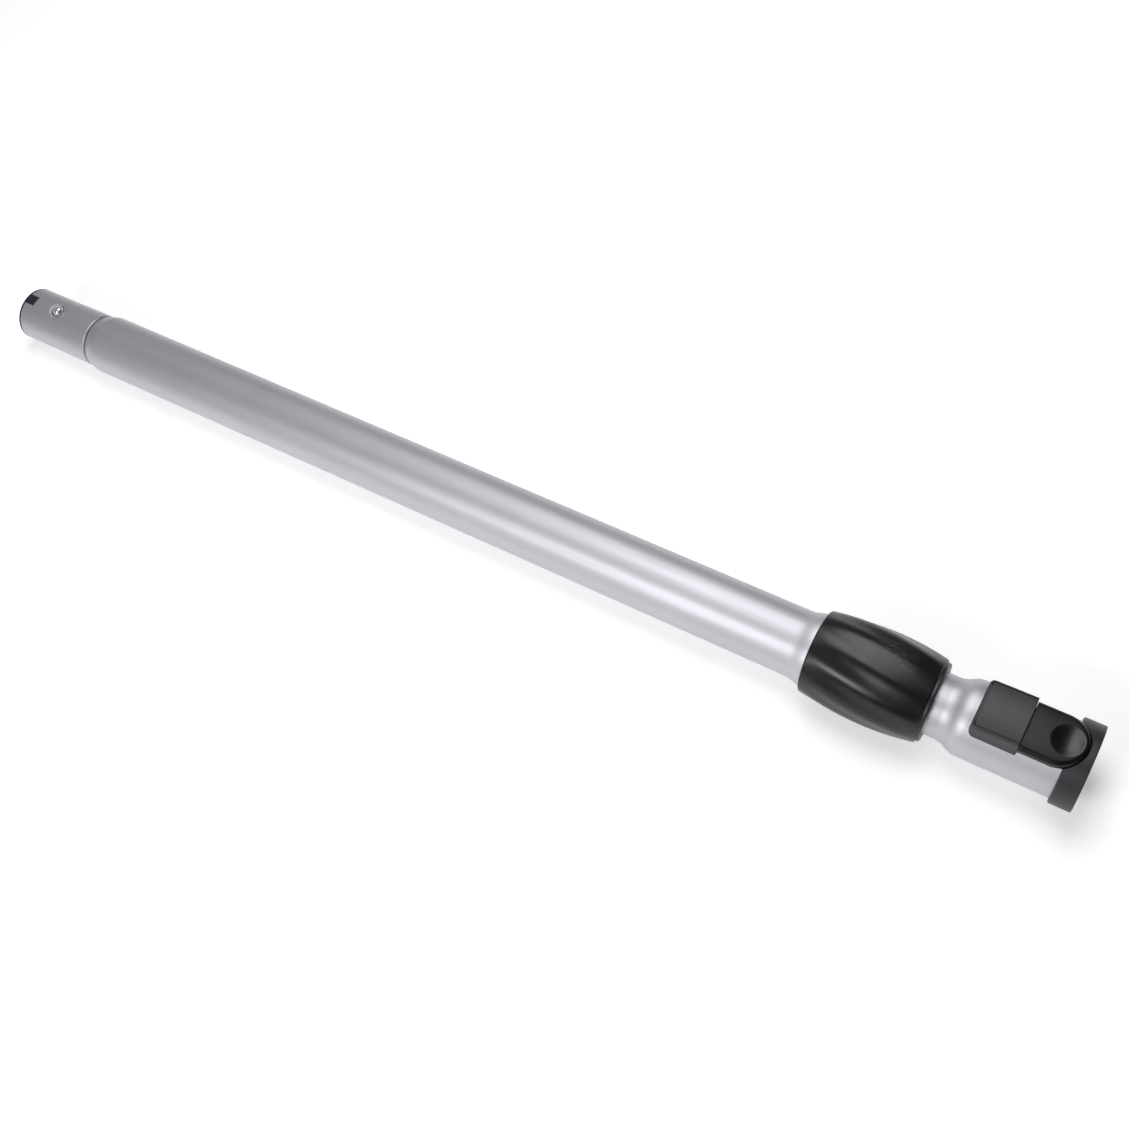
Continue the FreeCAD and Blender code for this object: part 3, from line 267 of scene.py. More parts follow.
def satin_lacquered_steel(colour):
    """Drawn steel tube under a satin silver lacquer: a soft broad gloss with
    faint lengthwise draw lines, a shallow pressed dimple round the snap ball
    and painted shade that darkens the rolled groove. The real lines are
    under 0.1 mm, drawn as coarse as they must be."""
    material, tree, place = new_material("satin_lacquered_steel")
    drawn = add(tree, "ShaderNodeMapping", {"Vector": place, "Scale": (1 / 70.0, 1 / 0.8, 1 / 0.8)})
    lines = add(tree, "ShaderNodeTexNoise", {"Vector": drawn.outputs["Vector"], "Scale": 1.0, "Detail": 3.0})
    haze = add(tree, "ShaderNodeTexNoise", {"Vector": place, "Scale": 1 / 25.0, "Detail": 2.0})
    flake = add(tree, "ShaderNodeTexNoise", {"Vector": place, "Scale": 1 / 0.35, "Detail": 1.0})
    darker, lighter = shades(colour, 0.04)
    tint = add(tree, "ShaderNodeMix", {0: haze.outputs["Fac"], 6: darker, 7: lighter}, data_type="RGBA")
    rough = add(tree, "ShaderNodeMapRange", {
        "Value": lines.outputs["Fac"], "From Min": 0.3, "From Max": 0.7, "To Min": 0.50, "To Max": 0.56})
    # Painted shade: the colour darkens most in the middle of the groove, where shade falls in the crease
    length = add(tree, "ShaderNodeSeparateXYZ", {"Vector": place}).outputs["X"]
    off_groove = add(tree, "ShaderNodeMath", {0: length, 1: GROOVE_PLACE}, operation="SUBTRACT")
    off_groove = add(tree, "ShaderNodeMath", {0: off_groove.outputs[0]}, operation="ABSOLUTE")
    groove_shade = add(tree, "ShaderNodeMapRange", {
        "Value": off_groove.outputs[0], "From Min": 0.3, "From Max": 1.4, "To Min": 0.65, "To Max": 0.0},
        interpolation_type="SMOOTHSTEP")
    # Painted shade: a dark grey mixed in over the groove
    groove_shaded = add(tree, "ShaderNodeMix", {
        0: groove_shade.outputs["Result"], 6: tint.outputs[2], 7: linear("#38383C")}, data_type="RGBA")
    # The dimple is pressed in up to the ball's hole and level again 6.4 mm off
    ball_place = ((BALL[0].x + BALL[1].x) / 2, 0.0, SPIGOT_RADIUS)
    from_ball = add(tree, "ShaderNodeVectorMath", {0: place, 1: ball_place}, operation="SUBTRACT")
    flattened = add(tree, "ShaderNodeVectorMath", {0: from_ball.outputs[0], 1: (1.0, 1.0, 0.3)},
                    operation="MULTIPLY")
    distance = add(tree, "ShaderNodeVectorMath", {0: flattened.outputs[0]}, operation="LENGTH")
    dimple = add(tree, "ShaderNodeMapRange", {
        "Value": distance.outputs["Value"], "From Min": 3.8, "From Max": 6.4, "To Min": 0.0, "To Max": 1.0},
        interpolation_type="SMOOTHSTEP")
    pressed = add(tree, "ShaderNodeBump", {"Height": dimple.outputs["Result"], "Distance": 0.55 * MM})
    grained = add(tree, "ShaderNodeBump", {
        "Height": flake.outputs["Fac"], "Distance": 0.0015 * MM, "Normal": pressed.outputs["Normal"]})
    ruled = add(tree, "ShaderNodeBump", {
        "Height": lines.outputs["Fac"], "Distance": 0.003 * MM, "Normal": grained.outputs["Normal"]})
    return close_material(material, tree, {
        "Base Color": groove_shaded.outputs[2], "Metallic": 1.0, "Roughness": rough.outputs["Result"],
        "Normal": ruled.outputs["Normal"]})


def polished_chrome():
    """Pressed steel ball, polished and bright chrome plated: a mirror with
    the faint haze and flat spots that pressing leaves."""
    material, tree, place = new_material("polished_chrome")
    haze = add(tree, "ShaderNodeTexNoise", {"Vector": place, "Scale": 1 / 1.5, "Detail": 2.0})
    darker, lighter = shades(linear("#DCDDE0"), 0.04)
    tint = add(tree, "ShaderNodeMix", {0: haze.outputs["Fac"], 6: darker, 7: lighter}, data_type="RGBA")
    rough = add(tree, "ShaderNodeMapRange", {
        "Value": haze.outputs["Fac"], "From Min": 0.3, "From Max": 0.7, "To Min": 0.10, "To Max": 0.18})
    spots = add(tree, "ShaderNodeBump", {"Height": haze.outputs["Fac"], "Distance": 0.03 * MM})
    return close_material(material, tree, {
        "Base Color": tint.outputs[2], "Metallic": 1.0, "Roughness": rough.outputs["Result"],
        "Normal": spots.outputs["Normal"]})


def gloss_moulded_abs(colour):
    """ABS moulded in a polished tool: deep black with a clear gloss, a faint
    orange peel, finger haze and one patch of fine slanting scuffs on the
    sleeve. The scuffs are hair lines, drawn 0.25 mm wide to show."""
    material, tree, place = new_material("gloss_moulded_abs")
    peel = add(tree, "ShaderNodeTexNoise", {"Vector": place, "Scale": 1 / 3.0, "Detail": 1.0})
    haze = add(tree, "ShaderNodeTexNoise", {"Vector": place, "Scale": 1 / 14.0, "Detail": 3.0})
    slanted = add(tree, "ShaderNodeMapping", {
        "Vector": place, "Rotation": (0.0, 0.0, 1.1), "Scale": (1 / 8.0, 1 / 0.25, 1 / 0.25)})
    hairs = add(tree, "ShaderNodeTexNoise", {
        "Vector": slanted.outputs["Vector"], "Scale": 1.0, "Detail": 1.0})
    off_spot = add(tree, "ShaderNodeVectorMath", {0: place, 1: SCUFFED_SPOT}, operation="DISTANCE")
    hair = add(tree, "ShaderNodeMapRange", {
        "Value": hairs.outputs["Fac"], "From Min": 0.53, "From Max": 0.62, "To Min": 0.0, "To Max": 1.0})
    patch = add(tree, "ShaderNodeMapRange", {
        "Value": off_spot.outputs["Value"], "From Min": 4.0, "From Max": 14.0,
        "To Min": 1.0, "To Max": 0.0})
    scuff = add(tree, "ShaderNodeMath", {0: hair.outputs["Result"], 1: patch.outputs["Result"]},
                operation="MULTIPLY")
    darker, lighter = shades(colour, 0.2)
    tint = add(tree, "ShaderNodeMix", {0: haze.outputs["Fac"], 6: darker, 7: lighter}, data_type="RGBA")
    worn = add(tree, "ShaderNodeMix", {0: scuff.outputs[0], 6: tint.outputs[2], 7: linear("#4A4A4A")},
               data_type="RGBA")
    sheen = add(tree, "ShaderNodeMapRange", {
        "Value": haze.outputs["Fac"], "From Min": 0.3, "From Max": 0.7, "To Min": 0.27, "To Max": 0.34})
    rough = add(tree, "ShaderNodeMath", {0: scuff.outputs[0], 1: 0.2, 2: sheen.outputs["Result"]},
                operation="MULTIPLY_ADD")
    relief = add(tree, "ShaderNodeBump", {"Height": peel.outputs["Fac"], "Distance": 0.006 * MM})
    return close_material(material, tree, {
        "Base Color": worn.outputs[2], "Roughness": rough.outputs[0], "IOR": 1.43,
        "Normal": relief.outputs["Normal"]})


def matte_moulded_pp(colour):
    """Polypropylene moulded in a spark-eroded tool: dark grey with a fine
    even grain that spreads the gloss, and handling haze. The grains are
    0.15 mm, drawn at 0.4 mm to show."""
    material, tree, place = new_material("matte_moulded_pp")
    grain = add(tree, "ShaderNodeTexNoise", {"Vector": place, "Scale": 1 / 0.4, "Detail": 1.0})
    haze = add(tree, "ShaderNodeTexNoise", {"Vector": place, "Scale": 1 / 11.0, "Detail": 2.0})
    darker, lighter = shades(colour, 0.12)
    tint = add(tree, "ShaderNodeMix", {0: haze.outputs["Fac"], 6: darker, 7: lighter}, data_type="RGBA")
    rough = add(tree, "ShaderNodeMapRange", {
        "Value": grain.outputs["Fac"], "From Min": 0.3, "From Max": 0.7, "To Min": 0.40, "To Max": 0.50})
    relief = add(tree, "ShaderNodeBump", {"Height": grain.outputs["Fac"], "Distance": 0.02 * MM})
    return close_material(material, tree, {
        "Base Color": tint.outputs[2], "Roughness": rough.outputs["Result"], "IOR": 1.49,
        "Normal": relief.outputs["Normal"]})


def moulded_plastic(name, colour, grain, index, low, high):
    """Plainly moulded plastic or rubber: flow marks of a size in mm that
    shade the colour a little and move the roughness between two values."""
    material, tree, place = new_material(name)
    flow = add(tree, "ShaderNodeTexNoise", {"Vector": place, "Scale": 1 / grain, "Detail": 2.0})
    darker, lighter = shades(colour, 0.1)
    tint = add(tree, "ShaderNodeMix", {0: flow.outputs["Fac"], 6: darker, 7: lighter}, data_type="RGBA")
    rough = add(tree, "ShaderNodeMapRange", {
        "Value": flow.outputs["Fac"], "From Min": 0.3, "From Max": 0.7, "To Min": low, "To Max": high})
    relief = add(tree, "ShaderNodeBump", {"Height": flow.outputs["Fac"], "Distance": 0.005 * MM})
    return close_material(material, tree, {
        "Base Color": tint.outputs[2], "Roughness": rough.outputs["Result"], "IOR": index,
        "Normal": relief.outputs["Normal"]})


def bright_spring_steel():
    """Drawn spring wire and ground pins: bright steel with draw lines that
    are a few hundredths wide, drawn at 0.3 mm."""
    material, tree, place = new_material("bright_spring_steel")
    lines = add(tree, "ShaderNodeTexNoise", {"Vector": place, "Scale": 1 / 0.3, "Detail": 1.0})
    darker, lighter = shades(linear("#A8A8A6"), 0.06)
    tint = add(tree, "ShaderNodeMix", {0: lines.outputs["Fac"], 6: darker, 7: lighter}, data_type="RGBA")
    rough = add(tree, "ShaderNodeMapRange", {
        "Value": lines.outputs["Fac"], "From Min": 0.3, "From Max": 0.7, "To Min": 0.24, "To Max": 0.36})
    return close_material(material, tree, {
        "Base Color": tint.outputs[2], "Metallic": 1.0, "Roughness": rough.outputs["Result"]})


# Filled by the finishes operator, before any piece is built
FINISHES = {}


def dress(nodes, finish):
    """Give CAD nodes a finish."""
    for name in nodes:
        data = frame["nodes"][name].data
        data.materials.clear()
        data.materials.append(FINISHES[finish])


def shaped(mesh, equip):
    """Put a mesh on a carrier, let equip() add modifiers, and return the
    plain mesh that they make."""
    carrier = bpy.data.objects.new("carrier", mesh)
    bpy.context.scene.collection.objects.link(carrier)
    equip(carrier)
    depsgraph = bpy.context.evaluated_depsgraph_get()
    result = bpy.data.meshes.new_from_object(carrier.evaluated_get(depsgraph))
    carrier.modifiers.clear()
    bpy.data.objects.remove(carrier)
    return result


def even_shading(carrier):
    """Let flat faces keep their own shading beside rounded edges."""
    carrier.modifiers.new("shading", "WEIGHTED_NORMAL").keep_sharp = True


SHARP_EDGE = math.radians(35)


def on_the_wand(name, mesh, finish, body, node):
    """Place a mesh drawn in the wand's frame, and let it stand for a node,
    which is hidden. A piece given no body is left unattached."""
    mesh.transform(WAND)
    mesh.polygons.foreach_set("use_smooth", [True] * len(mesh.polygons))
    mesh.set_sharp_from_angle(angle=SHARP_EDGE)
    mesh = shaped(mesh, even_shading)
    mesh.name = name
    mesh.materials.clear()
    mesh.materials.append(FINISHES[finish])
    piece = bpy.data.objects.new(name, mesh)
    bpy.context.scene.collection.objects.link(piece)
    if body:
        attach(piece, body)
    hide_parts(node)
    return piece


def enclosed(faces):
    """Three times the room inside a closed skin, less than zero where its
    faces point inwards."""
    room, home = 0.0, faces[0].verts[0].co
    for face in faces:
        face.normal_update()
        room += face.calc_area() * face.normal.dot(face.verts[0].co - home)
    return room


def skin_over(shape, rings, closed):
    """Faces between rings of equal count, turned outwards. A closed row of
    rings meets itself, an open one gets a cap on each end."""
    rows = [[shape.verts.new(point) for point in ring] for ring in rings]
    count = len(rows[0])
    pairs = list(zip(rows, rows[1:]))
    if closed:
        pairs.append((rows[-1], rows[0]))
    faces = []
    for low, high in pairs:
        for k in range(count):
            n = (k + 1) % count
            faces.append(shape.faces.new((low[k], low[n], high[n], high[k])))
    if not closed:
        faces += [shape.faces.new(list(reversed(rows[0]))), shape.faces.new(rows[-1])]
    # a thin dished skin such as the lever's misleads Blender's own recalculation
    if enclosed(faces) < 0:
        bmesh.ops.reverse_faces(shape, faces=faces)
    return rows


def taken(shape, name):
    """The mesh of a bmesh."""
    mesh = bpy.data.meshes.new(name)
    shape.to_mesh(mesh)
    shape.free()
    return mesh


def lathe(section, sides):
    """Turn a closed section of (x, radius, skin) points round the wand's
    axis. The skin, kept as an attribute, marks what a later step may shape."""
    shape = bmesh.new()
    skin = shape.verts.layers.float.new("skin")
    turns = evenly(0.0, 2 * math.pi, sides)[:-1]
    rings = [[(x, radius * math.sin(a), radius * math.cos(a)) for a in turns]
             for x, radius, mark in section]
    rows = skin_over(shape, rings, closed=True)
    for row, (x, radius, mark) in zip(rows, section):
        for vertex in row:
            vertex[skin] = mark
    return taken(shape, "turned")


def strip(outline, width):
    """A strip of sheet metal from its edge, drawn as (x, z) points."""
    shape = bmesh.new()
    skin_over(shape, [[(x, y, z) for x, z in outline] for y in (-width / 2, width / 2)], closed=False)
    return taken(shape, "strip")


def new_group(name, sizes):
    """An empty geometry tree with named size inputs."""
    tree = bpy.data.node_groups.new(name, "GeometryNodeTree")
    face = tree.interface
    face.new_socket("Geometry", in_out="INPUT", socket_type="NodeSocketGeometry")
    for label, value in sizes.items():
        face.new_socket(label, in_out="INPUT", socket_type="NodeSocketFloat").default_value = value
    face.new_socket("Geometry", in_out="OUTPUT", socket_type="NodeSocketGeometry")
    return tree, add(tree, "NodeGroupInput").outputs


def close_group(tree, geometry, material):
    """End a geometry tree with real geometry that carries its material."""
    whole = add(tree, "GeometryNodeRealizeInstances", {"Geometry": geometry})
    painted = add(tree, "GeometryNodeSetMaterial", {
        "Geometry": whole.outputs["Geometry"], "Material": material})
    add(tree, "NodeGroupOutput", {"Geometry": painted.outputs["Geometry"]})


def grown(tree, mesh, sizes):
    """Run a geometry tree on a mesh with these sizes."""
    def equip(carrier):
        modifier = carrier.modifiers.new("shape", "NODES")
        modifier.node_group = tree
        for item in tree.interface.items_tree:
            if item.in_out == "INPUT" and item.name in sizes:
                modifier[item.identifier] = sizes[item.name]
    return shaped(mesh, equip)


def twisted_flutes(material):
    """Sinks twisted flutes into the marked skin of a turned sleeve. They
    fade out towards both of its ends."""
    tree, size = new_group("twisted_flutes", {
        "Middle": 0.0, "Half Length": 1.0, "Flutes": 12.0, "Depth": 0.55, "Twist": 0.0})
    place = add(tree, "GeometryNodeInputPosition").outputs["Position"]
    x, y, z = add(tree, "ShaderNodeSeparateXYZ", {"Vector": place}).outputs
    away = add(tree, "ShaderNodeMath", {0: x, 1: size["Middle"]}, operation="SUBTRACT").outputs[0]
    share = add(tree, "ShaderNodeMath", {0: away, 1: size["Half Length"]}, operation="DIVIDE").outputs[0]
    distance = add(tree, "ShaderNodeMath", {0: share}, operation="ABSOLUTE").outputs[0]
    cubed = add(tree, "ShaderNodeMath", {0: distance, 1: 3.0}, operation="POWER").outputs[0]
    fade = add(tree, "ShaderNodeMath", {0: 1.0, 1: cubed}, operation="SUBTRACT", use_clamp=True).outputs[0]
    under = add(tree, "ShaderNodeMath", {0: z, 1: -1.0}, operation="MULTIPLY").outputs[0]
    angle = add(tree, "ShaderNodeMath", {0: y, 1: under}, operation="ARCTAN2").outputs[0]
    lead = add(tree, "ShaderNodeMath", {0: size["Twist"], 1: away}, operation="MULTIPLY").outputs[0]
    turn = add(tree, "ShaderNodeMath", {0: angle, 1: lead}, operation="SUBTRACT").outputs[0]
    phase = add(tree, "ShaderNodeMath", {0: turn, 1: size["Flutes"]}, operation="MULTIPLY").outputs[0]
    wave = add(tree, "ShaderNodeMath", {0: phase}, operation="COSINE").outputs[0]
    dip = add(tree, "ShaderNodeMath", {0: wave, 1: 0.5, 2: 0.5}, operation="MULTIPLY_ADD").outputs[0]
    skin = add(tree, "GeometryNodeInputNamedAttribute", {"Name": "skin"}, data_type="FLOAT").outputs[0]
    shift = dip  # faded towards the ends, kept to the marked skin, and inward
    for factor in (size["Depth"], fade, skin, -1.0):
        shift = add(tree, "ShaderNodeMath", {0: shift, 1: factor}, operation="MULTIPLY").outputs[0]
    radial = add(tree, "ShaderNodeCombineXYZ", {"Y": y, "Z": z}).outputs["Vector"]
    outward = add(tree, "ShaderNodeVectorMath", {0: radial}, operation="NORMALIZE").outputs[0]
    offset = add(tree, "ShaderNodeVectorMath", {0: outward, "Scale": shift}, operation="SCALE").outputs[0]
    moved = add(tree, "GeometryNodeSetPosition", {"Geometry": size["Geometry"], "Offset": offset})
    close_group(tree, moved.outputs["Geometry"], material)
    return tree


def wound_coil(material):
    """Winds round wire into an open coil with filled ends."""
    tree, size = new_group("wound_coil", {
        "Radius": 20.0, "Length": 11.0, "Turns": 3.5, "Wire": 1.0, "Start": 0.0})
    path = add(tree, "GeometryNodeCurveSpiral", {
        "Start Radius": size["Radius"], "End Radius": size["Radius"], "Height": size["Length"],
        "Rotations": size["Turns"], "Resolution": 64})
    half = add(tree, "ShaderNodeMath", {0: size["Wire"], 1: 0.5}, operation="MULTIPLY").outputs[0]
    wire = add(tree, "GeometryNodeCurvePrimitiveCircle", {"Radius": half, "Resolution": 16})
    swept = add(tree, "GeometryNodeCurveToMesh", {
        "Curve": path.outputs["Curve"], "Profile Curve": wire.outputs["Curve"], "Fill Caps": True})
    start = add(tree, "ShaderNodeCombineXYZ", {"X": size["Start"]}).outputs["Vector"]
    laid = add(tree, "GeometryNodeTransform", {
        "Geometry": swept.outputs["Mesh"], "Translation": start, "Rotation": (0.0, math.pi / 2, 0.0)})
    close_group(tree, laid.outputs["Geometry"], material)
    return tree


class WAND_OT_finishes(bpy.types.Operator):
    """Give every piece of the frame its finish"""

    bl_idname = "wand.finishes"
    bl_label = "Finishes"

    def execute(self, context):
        colours = context.scene.wand_colours
        FINISHES["steel"] = satin_lacquered_steel(colours.steel)
        FINISHES["chrome"] = polished_chrome()
        FINISHES["gloss"] = gloss_moulded_abs(colours.gloss)
        FINISHES["matte"] = matte_moulded_pp(colours.matte)
        for key, name, colour, grain, index, low, high in (
                ("insert", "moulded_insert_plastic", colours.insert, 4.0, 1.5, 0.36, 0.48),
                ("acetal", "moulded_natural_acetal", colours.acetal, 6.0, 1.48, 0.34, 0.46),
                ("black_acetal", "moulded_black_acetal", linear("#151517"), 6.0, 1.48, 0.34, 0.46),
                ("rubber", "moulded_nitrile_rubber", linear("#191919"), 2.0, 1.52, 0.7, 0.85)):
            FINISHES[key] = moulded_plastic(name, colour, grain, index, low, high)
        FINISHES["spring"] = bright_spring_steel()
        dress(["outer_tube", "inner_tube"], "steel")
        dress(["snap_ball"], "chrome")
        dress(["slide_sleeve", "latch_lever"], "gloss")
        dress(["socket_collar", "latch_cover"], "matte")
        dress(["spigot_insert"], "insert")
        dress(["guide_bush", "glide_bush"], "acetal")
        dress(["lock_body", "end_ring"], "black_acetal")
        dress(["snap_spring", "sleeve_spring", "latch_spring"], "spring")
        dress(["lock_roller", "latch_tooth", "latch_pin"], "spring")
        dress(["lip_seal", "socket_seal"], "rubber")
        return {"FINISHED"}


class WAND_OT_sleeve(bpy.types.Operator):
    """Build the fluted release sleeve"""

    bl_idname = "wand.sleeve"
    bl_label = "Release sleeve"

    def execute(self, context):
        size = context.scene.wand_sleeve
        start, stop = SLEEVE[0].x, SLEEVE[1].x
        middle, half = (start + stop) / 2, (stop - start) / 2
        rise, rounding = size.belly_radius - size.rim_radius, size.rounding
        steps, bends, sides = 72, 5, 288
        section = [(x, size.rim_radius + bowed(x - middle, half, rise), 1.0)
                   for x in evenly(start + rounding, stop - rounding, steps)]
        edge = section[0][1] - rounding
        corner = [(rounding * (1 - math.cos(a)), edge + rounding * math.sin(a))
                  for a in evenly(0.0, math.pi / 2, bends)[:-1]]
        section = [(start + x, radius, 0.0) for x, radius in corner] + section
        section += [(stop - x, radius, 0.0) for x, radius in reversed(corner)]
        section += [(x, radius, 0.0) for x, radius in reversed(bore_profile("slide_sleeve"))]
        mesh = grown(twisted_flutes(FINISHES["gloss"]), lathe(section, sides), {
            "Middle": middle, "Half Length": half, "Flutes": float(size.flutes),
            "Depth": size.flute_depth, "Twist": size.twist})
        on_the_wand("release_sleeve", mesh, "gloss", "sleeve", "slide_sleeve")
        return {"FINISHED"}


class WAND_OT_spring(bpy.types.Operator):
    """Wind the return spring of the sleeve"""

    bl_idname = "wand.spring"
    bl_label = "Return spring"

    def execute(self, context):
        size = context.scene.wand_sleeve
        low, high = SPRING
        half_wire = size.spring_wire / 2
        mesh = grown(wound_coil(FINISHES["spring"]), bpy.data.meshes.new("empty"), {
            "Radius": high.z - half_wire, "Length": high.x - low.x - size.spring_wire,
            "Turns": size.spring_turns, "Wire": size.spring_wire, "Start": low.x + half_wire})
        coil = on_the_wand("return_spring", mesh, "spring", "outer", "sleeve_spring")
        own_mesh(coil)
        return {"FINISHED"}


class WAND_OT_leaves(bpy.types.Operator):
    """Build the leaf springs under the snap ball and over the lever's tail"""

    bl_idname = "wand.leaves"
    bl_label = "Leaf springs"

    STEPS = 32  # points along a leaf

    def execute(self, context):
        size = context.scene.wand_latch
        self.ball_leaf(size.leaf_thick, size.leaf_hook)
        self.lever_leaf(size.leaf_thick)
        return {"FINISHED"}

    def ball_leaf(self, thick, lead):
        """A flat leaf with a hook in the insert's window."""
        low, high = BALL_LEAF
        foot, top = BALL[1].x, low.z + thick
        hook = foot + lead
        stations = evenly(low.x, high.x, self.STEPS)
        outline = [(x, low.z) for x in stations]
        outline += [(x, top) for x in reversed(stations) if x > hook]
        outline += [(hook, top), (hook, high.z), (hook - thick, high.z), (hook - thick, top)]
        outline += [(x, top) for x in reversed(stations) if x < hook - thick]
        leaf = on_the_wand("ball_leaf", strip(outline, high.y - low.y),
                           "spring", None, "snap_spring")
        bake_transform(leaf)

    def lever_leaf(self, thick):
        """A bowed leaf."""
        low, high = LEVER_LEAF
        middle, half, rise = (low.x + high.x) / 2, (high.x - low.x) / 2, high.z - low.z - thick
        under = [(x, low.z + bowed(x - middle, half, rise)) for x in evenly(low.x, high.x, self.STEPS)]
        over = [(x, z + thick) for x, z in reversed(under)]
        leaf = on_the_wand("lever_leaf", strip(under + over, high.y - low.y),
                           "spring", None, "latch_spring")
        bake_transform(leaf)


class WAND_OT_lever(bpy.types.Operator):
    """Shape the latch lever: crowned plate, rounded edge, skirt and dish"""

    bl_idname = "wand.lever"
    bl_label = "Latch lever"

    MOUTH_GAP = 0.39  # between the cover's mouth and the lever's plate
    INNERMOST = 0.4  # half width of the last ring of the plate
    DISH_POWER = 1.1  # over 1, the dish meets the plate softly
    LEAST_SKIRT = 0.05  # height of the skirt where the foot meets the plate
    TAIL_HALF, TAIL_THICK, TAIL_LAP = 8.5, 1.2, 3.0  # plate under the cover
    BOSS_HALF, BOSS_RADIUS, BOSS_SIDES = 9.0, 1.7, 32  # round the pin
    NIP = 0.3  # bevel of the tail and the boss

    def execute(self, context):
        self.size = context.scene.wand_latch
        self.half = LEVER[1].y
        self.centre = LEVER[1].x - self.half
        self.start = COVER[1].x + self.MOUTH_GAP
        self.top = SOCKET_RADIUS + self.size.lever_rise
        shape = bmesh.new()
        skin_over(shape, self.rings(), closed=False)
        self.tail(shape)
        mesh = taken(shape, "lever")
        on_the_wand("thumb_lever", mesh, "gloss", "lever", "latch_lever")
        return {"FINISHED"}

    def plan(self, inset):
        """The lever's outline from above, drawn in by an inset."""
        reach_out, back = self.half - inset, self.start + inset
        straight, bend, end = 40, 60, 40
        points = [(x, -reach_out) for x in evenly(back, self.centre, straight)[:-1]]
        points += [(self.centre + reach_out * math.cos(a), reach_out * math.sin(a))
                   for a in evenly(-math.pi / 2, math.pi / 2, bend)[:-1]]
        points += [(x, reach_out) for x in evenly(self.centre, back, straight)[:-1]]
        points += [(back, y) for y in evenly(reach_out, -reach_out, end)[:-1]]
        return points

    def crown(self, y):
        """How far the top has fallen at a distance from the middle."""
        return self.size.lever_crown * (y / self.half) ** 2

    def skin(self, x, y):
        """Height of the lever's top, with its rounded edge and dish."""
        size = self.size
        inside = self.half - (abs(y) if x < self.centre else math.hypot(x - self.centre, y))
        left = min(size.lever_edge, max(0.0, size.lever_edge - inside))
        edge = size.lever_edge - math.sqrt(size.lever_edge ** 2 - left ** 2)
        lead = (x - self.centre - size.dish_lead) / size.dish_radius
        around = lead ** 2 + (y / size.dish_radius) ** 2
        dish = size.dish_depth * max(0.0, 1 - around) ** self.DISH_POWER
        return self.top - self.crown(y) - edge - dish

    def foot(self, y):
        """Height of the skirt's foot, arched to ride clear of the socket."""
        return LEVER[0].z + bowed(y, self.half, self.top - self.size.lever_plate - LEVER[0].z)

    def under(self, y):
        """Height of the plate's underside."""
        return self.top - self.size.lever_plate - self.crown(y)

    def rings(self):
        """Rings from the middle of the underside out, up and in over the top."""
        size = self.size
        innermost, steps, bends = self.half - self.INNERMOST, 32, 7
        insets = evenly(innermost, size.lever_wall, steps)
        rings = [[(x, y, self.under(y)) for x, y in self.plan(inset)] for inset in insets]
        for inset in (size.lever_wall, 0.0):
            rings.append([(x, y, min(self.foot(y), self.under(y) - self.LEAST_SKIRT))
                          for x, y in self.plan(inset)])
        insets = [size.lever_edge * (1 - math.cos(a)) for a in evenly(0.0, math.pi / 2, bends)]
        insets += evenly(size.lever_edge, innermost, steps)[1:]
        rings += [[(x, y, self.skin(x, y)) for x, y in self.plan(inset)] for inset in insets]
        return rings

    def tail(self, shape):
        """The plate under the cover and its boss round the pin."""
        low, high = LEVER[0].x, self.start + self.TAIL_LAP
        floor = self.top - self.size.lever_plate
        rings = []
        for x, nip in ((low, self.NIP), (low + self.NIP, 0.0), (high, 0.0)):
            y, under, over = self.TAIL_HALF - nip, floor + nip, floor + self.TAIL_THICK - nip
            rings.append([(x, -y, under), (x, y, under), (x, y, over), (x, -y, over)])
        skin_over(shape, rings, closed=False)
        middle, turns = (PIN[0] + PIN[1]) / 2, evenly(0.0, 2 * math.pi, self.BOSS_SIDES)[:-1]
        rings = []
        for y, nip in ((-self.BOSS_HALF, self.NIP), (self.NIP - self.BOSS_HALF, 0.0),
                       (self.BOSS_HALF - self.NIP, 0.0), (self.BOSS_HALF, self.NIP)):
            radius = self.BOSS_RADIUS - nip
            rings.append([(middle.x + radius * math.cos(a), y, middle.z + radius * math.sin(a))
                          for a in turns])
        skin_over(shape, rings, closed=False)


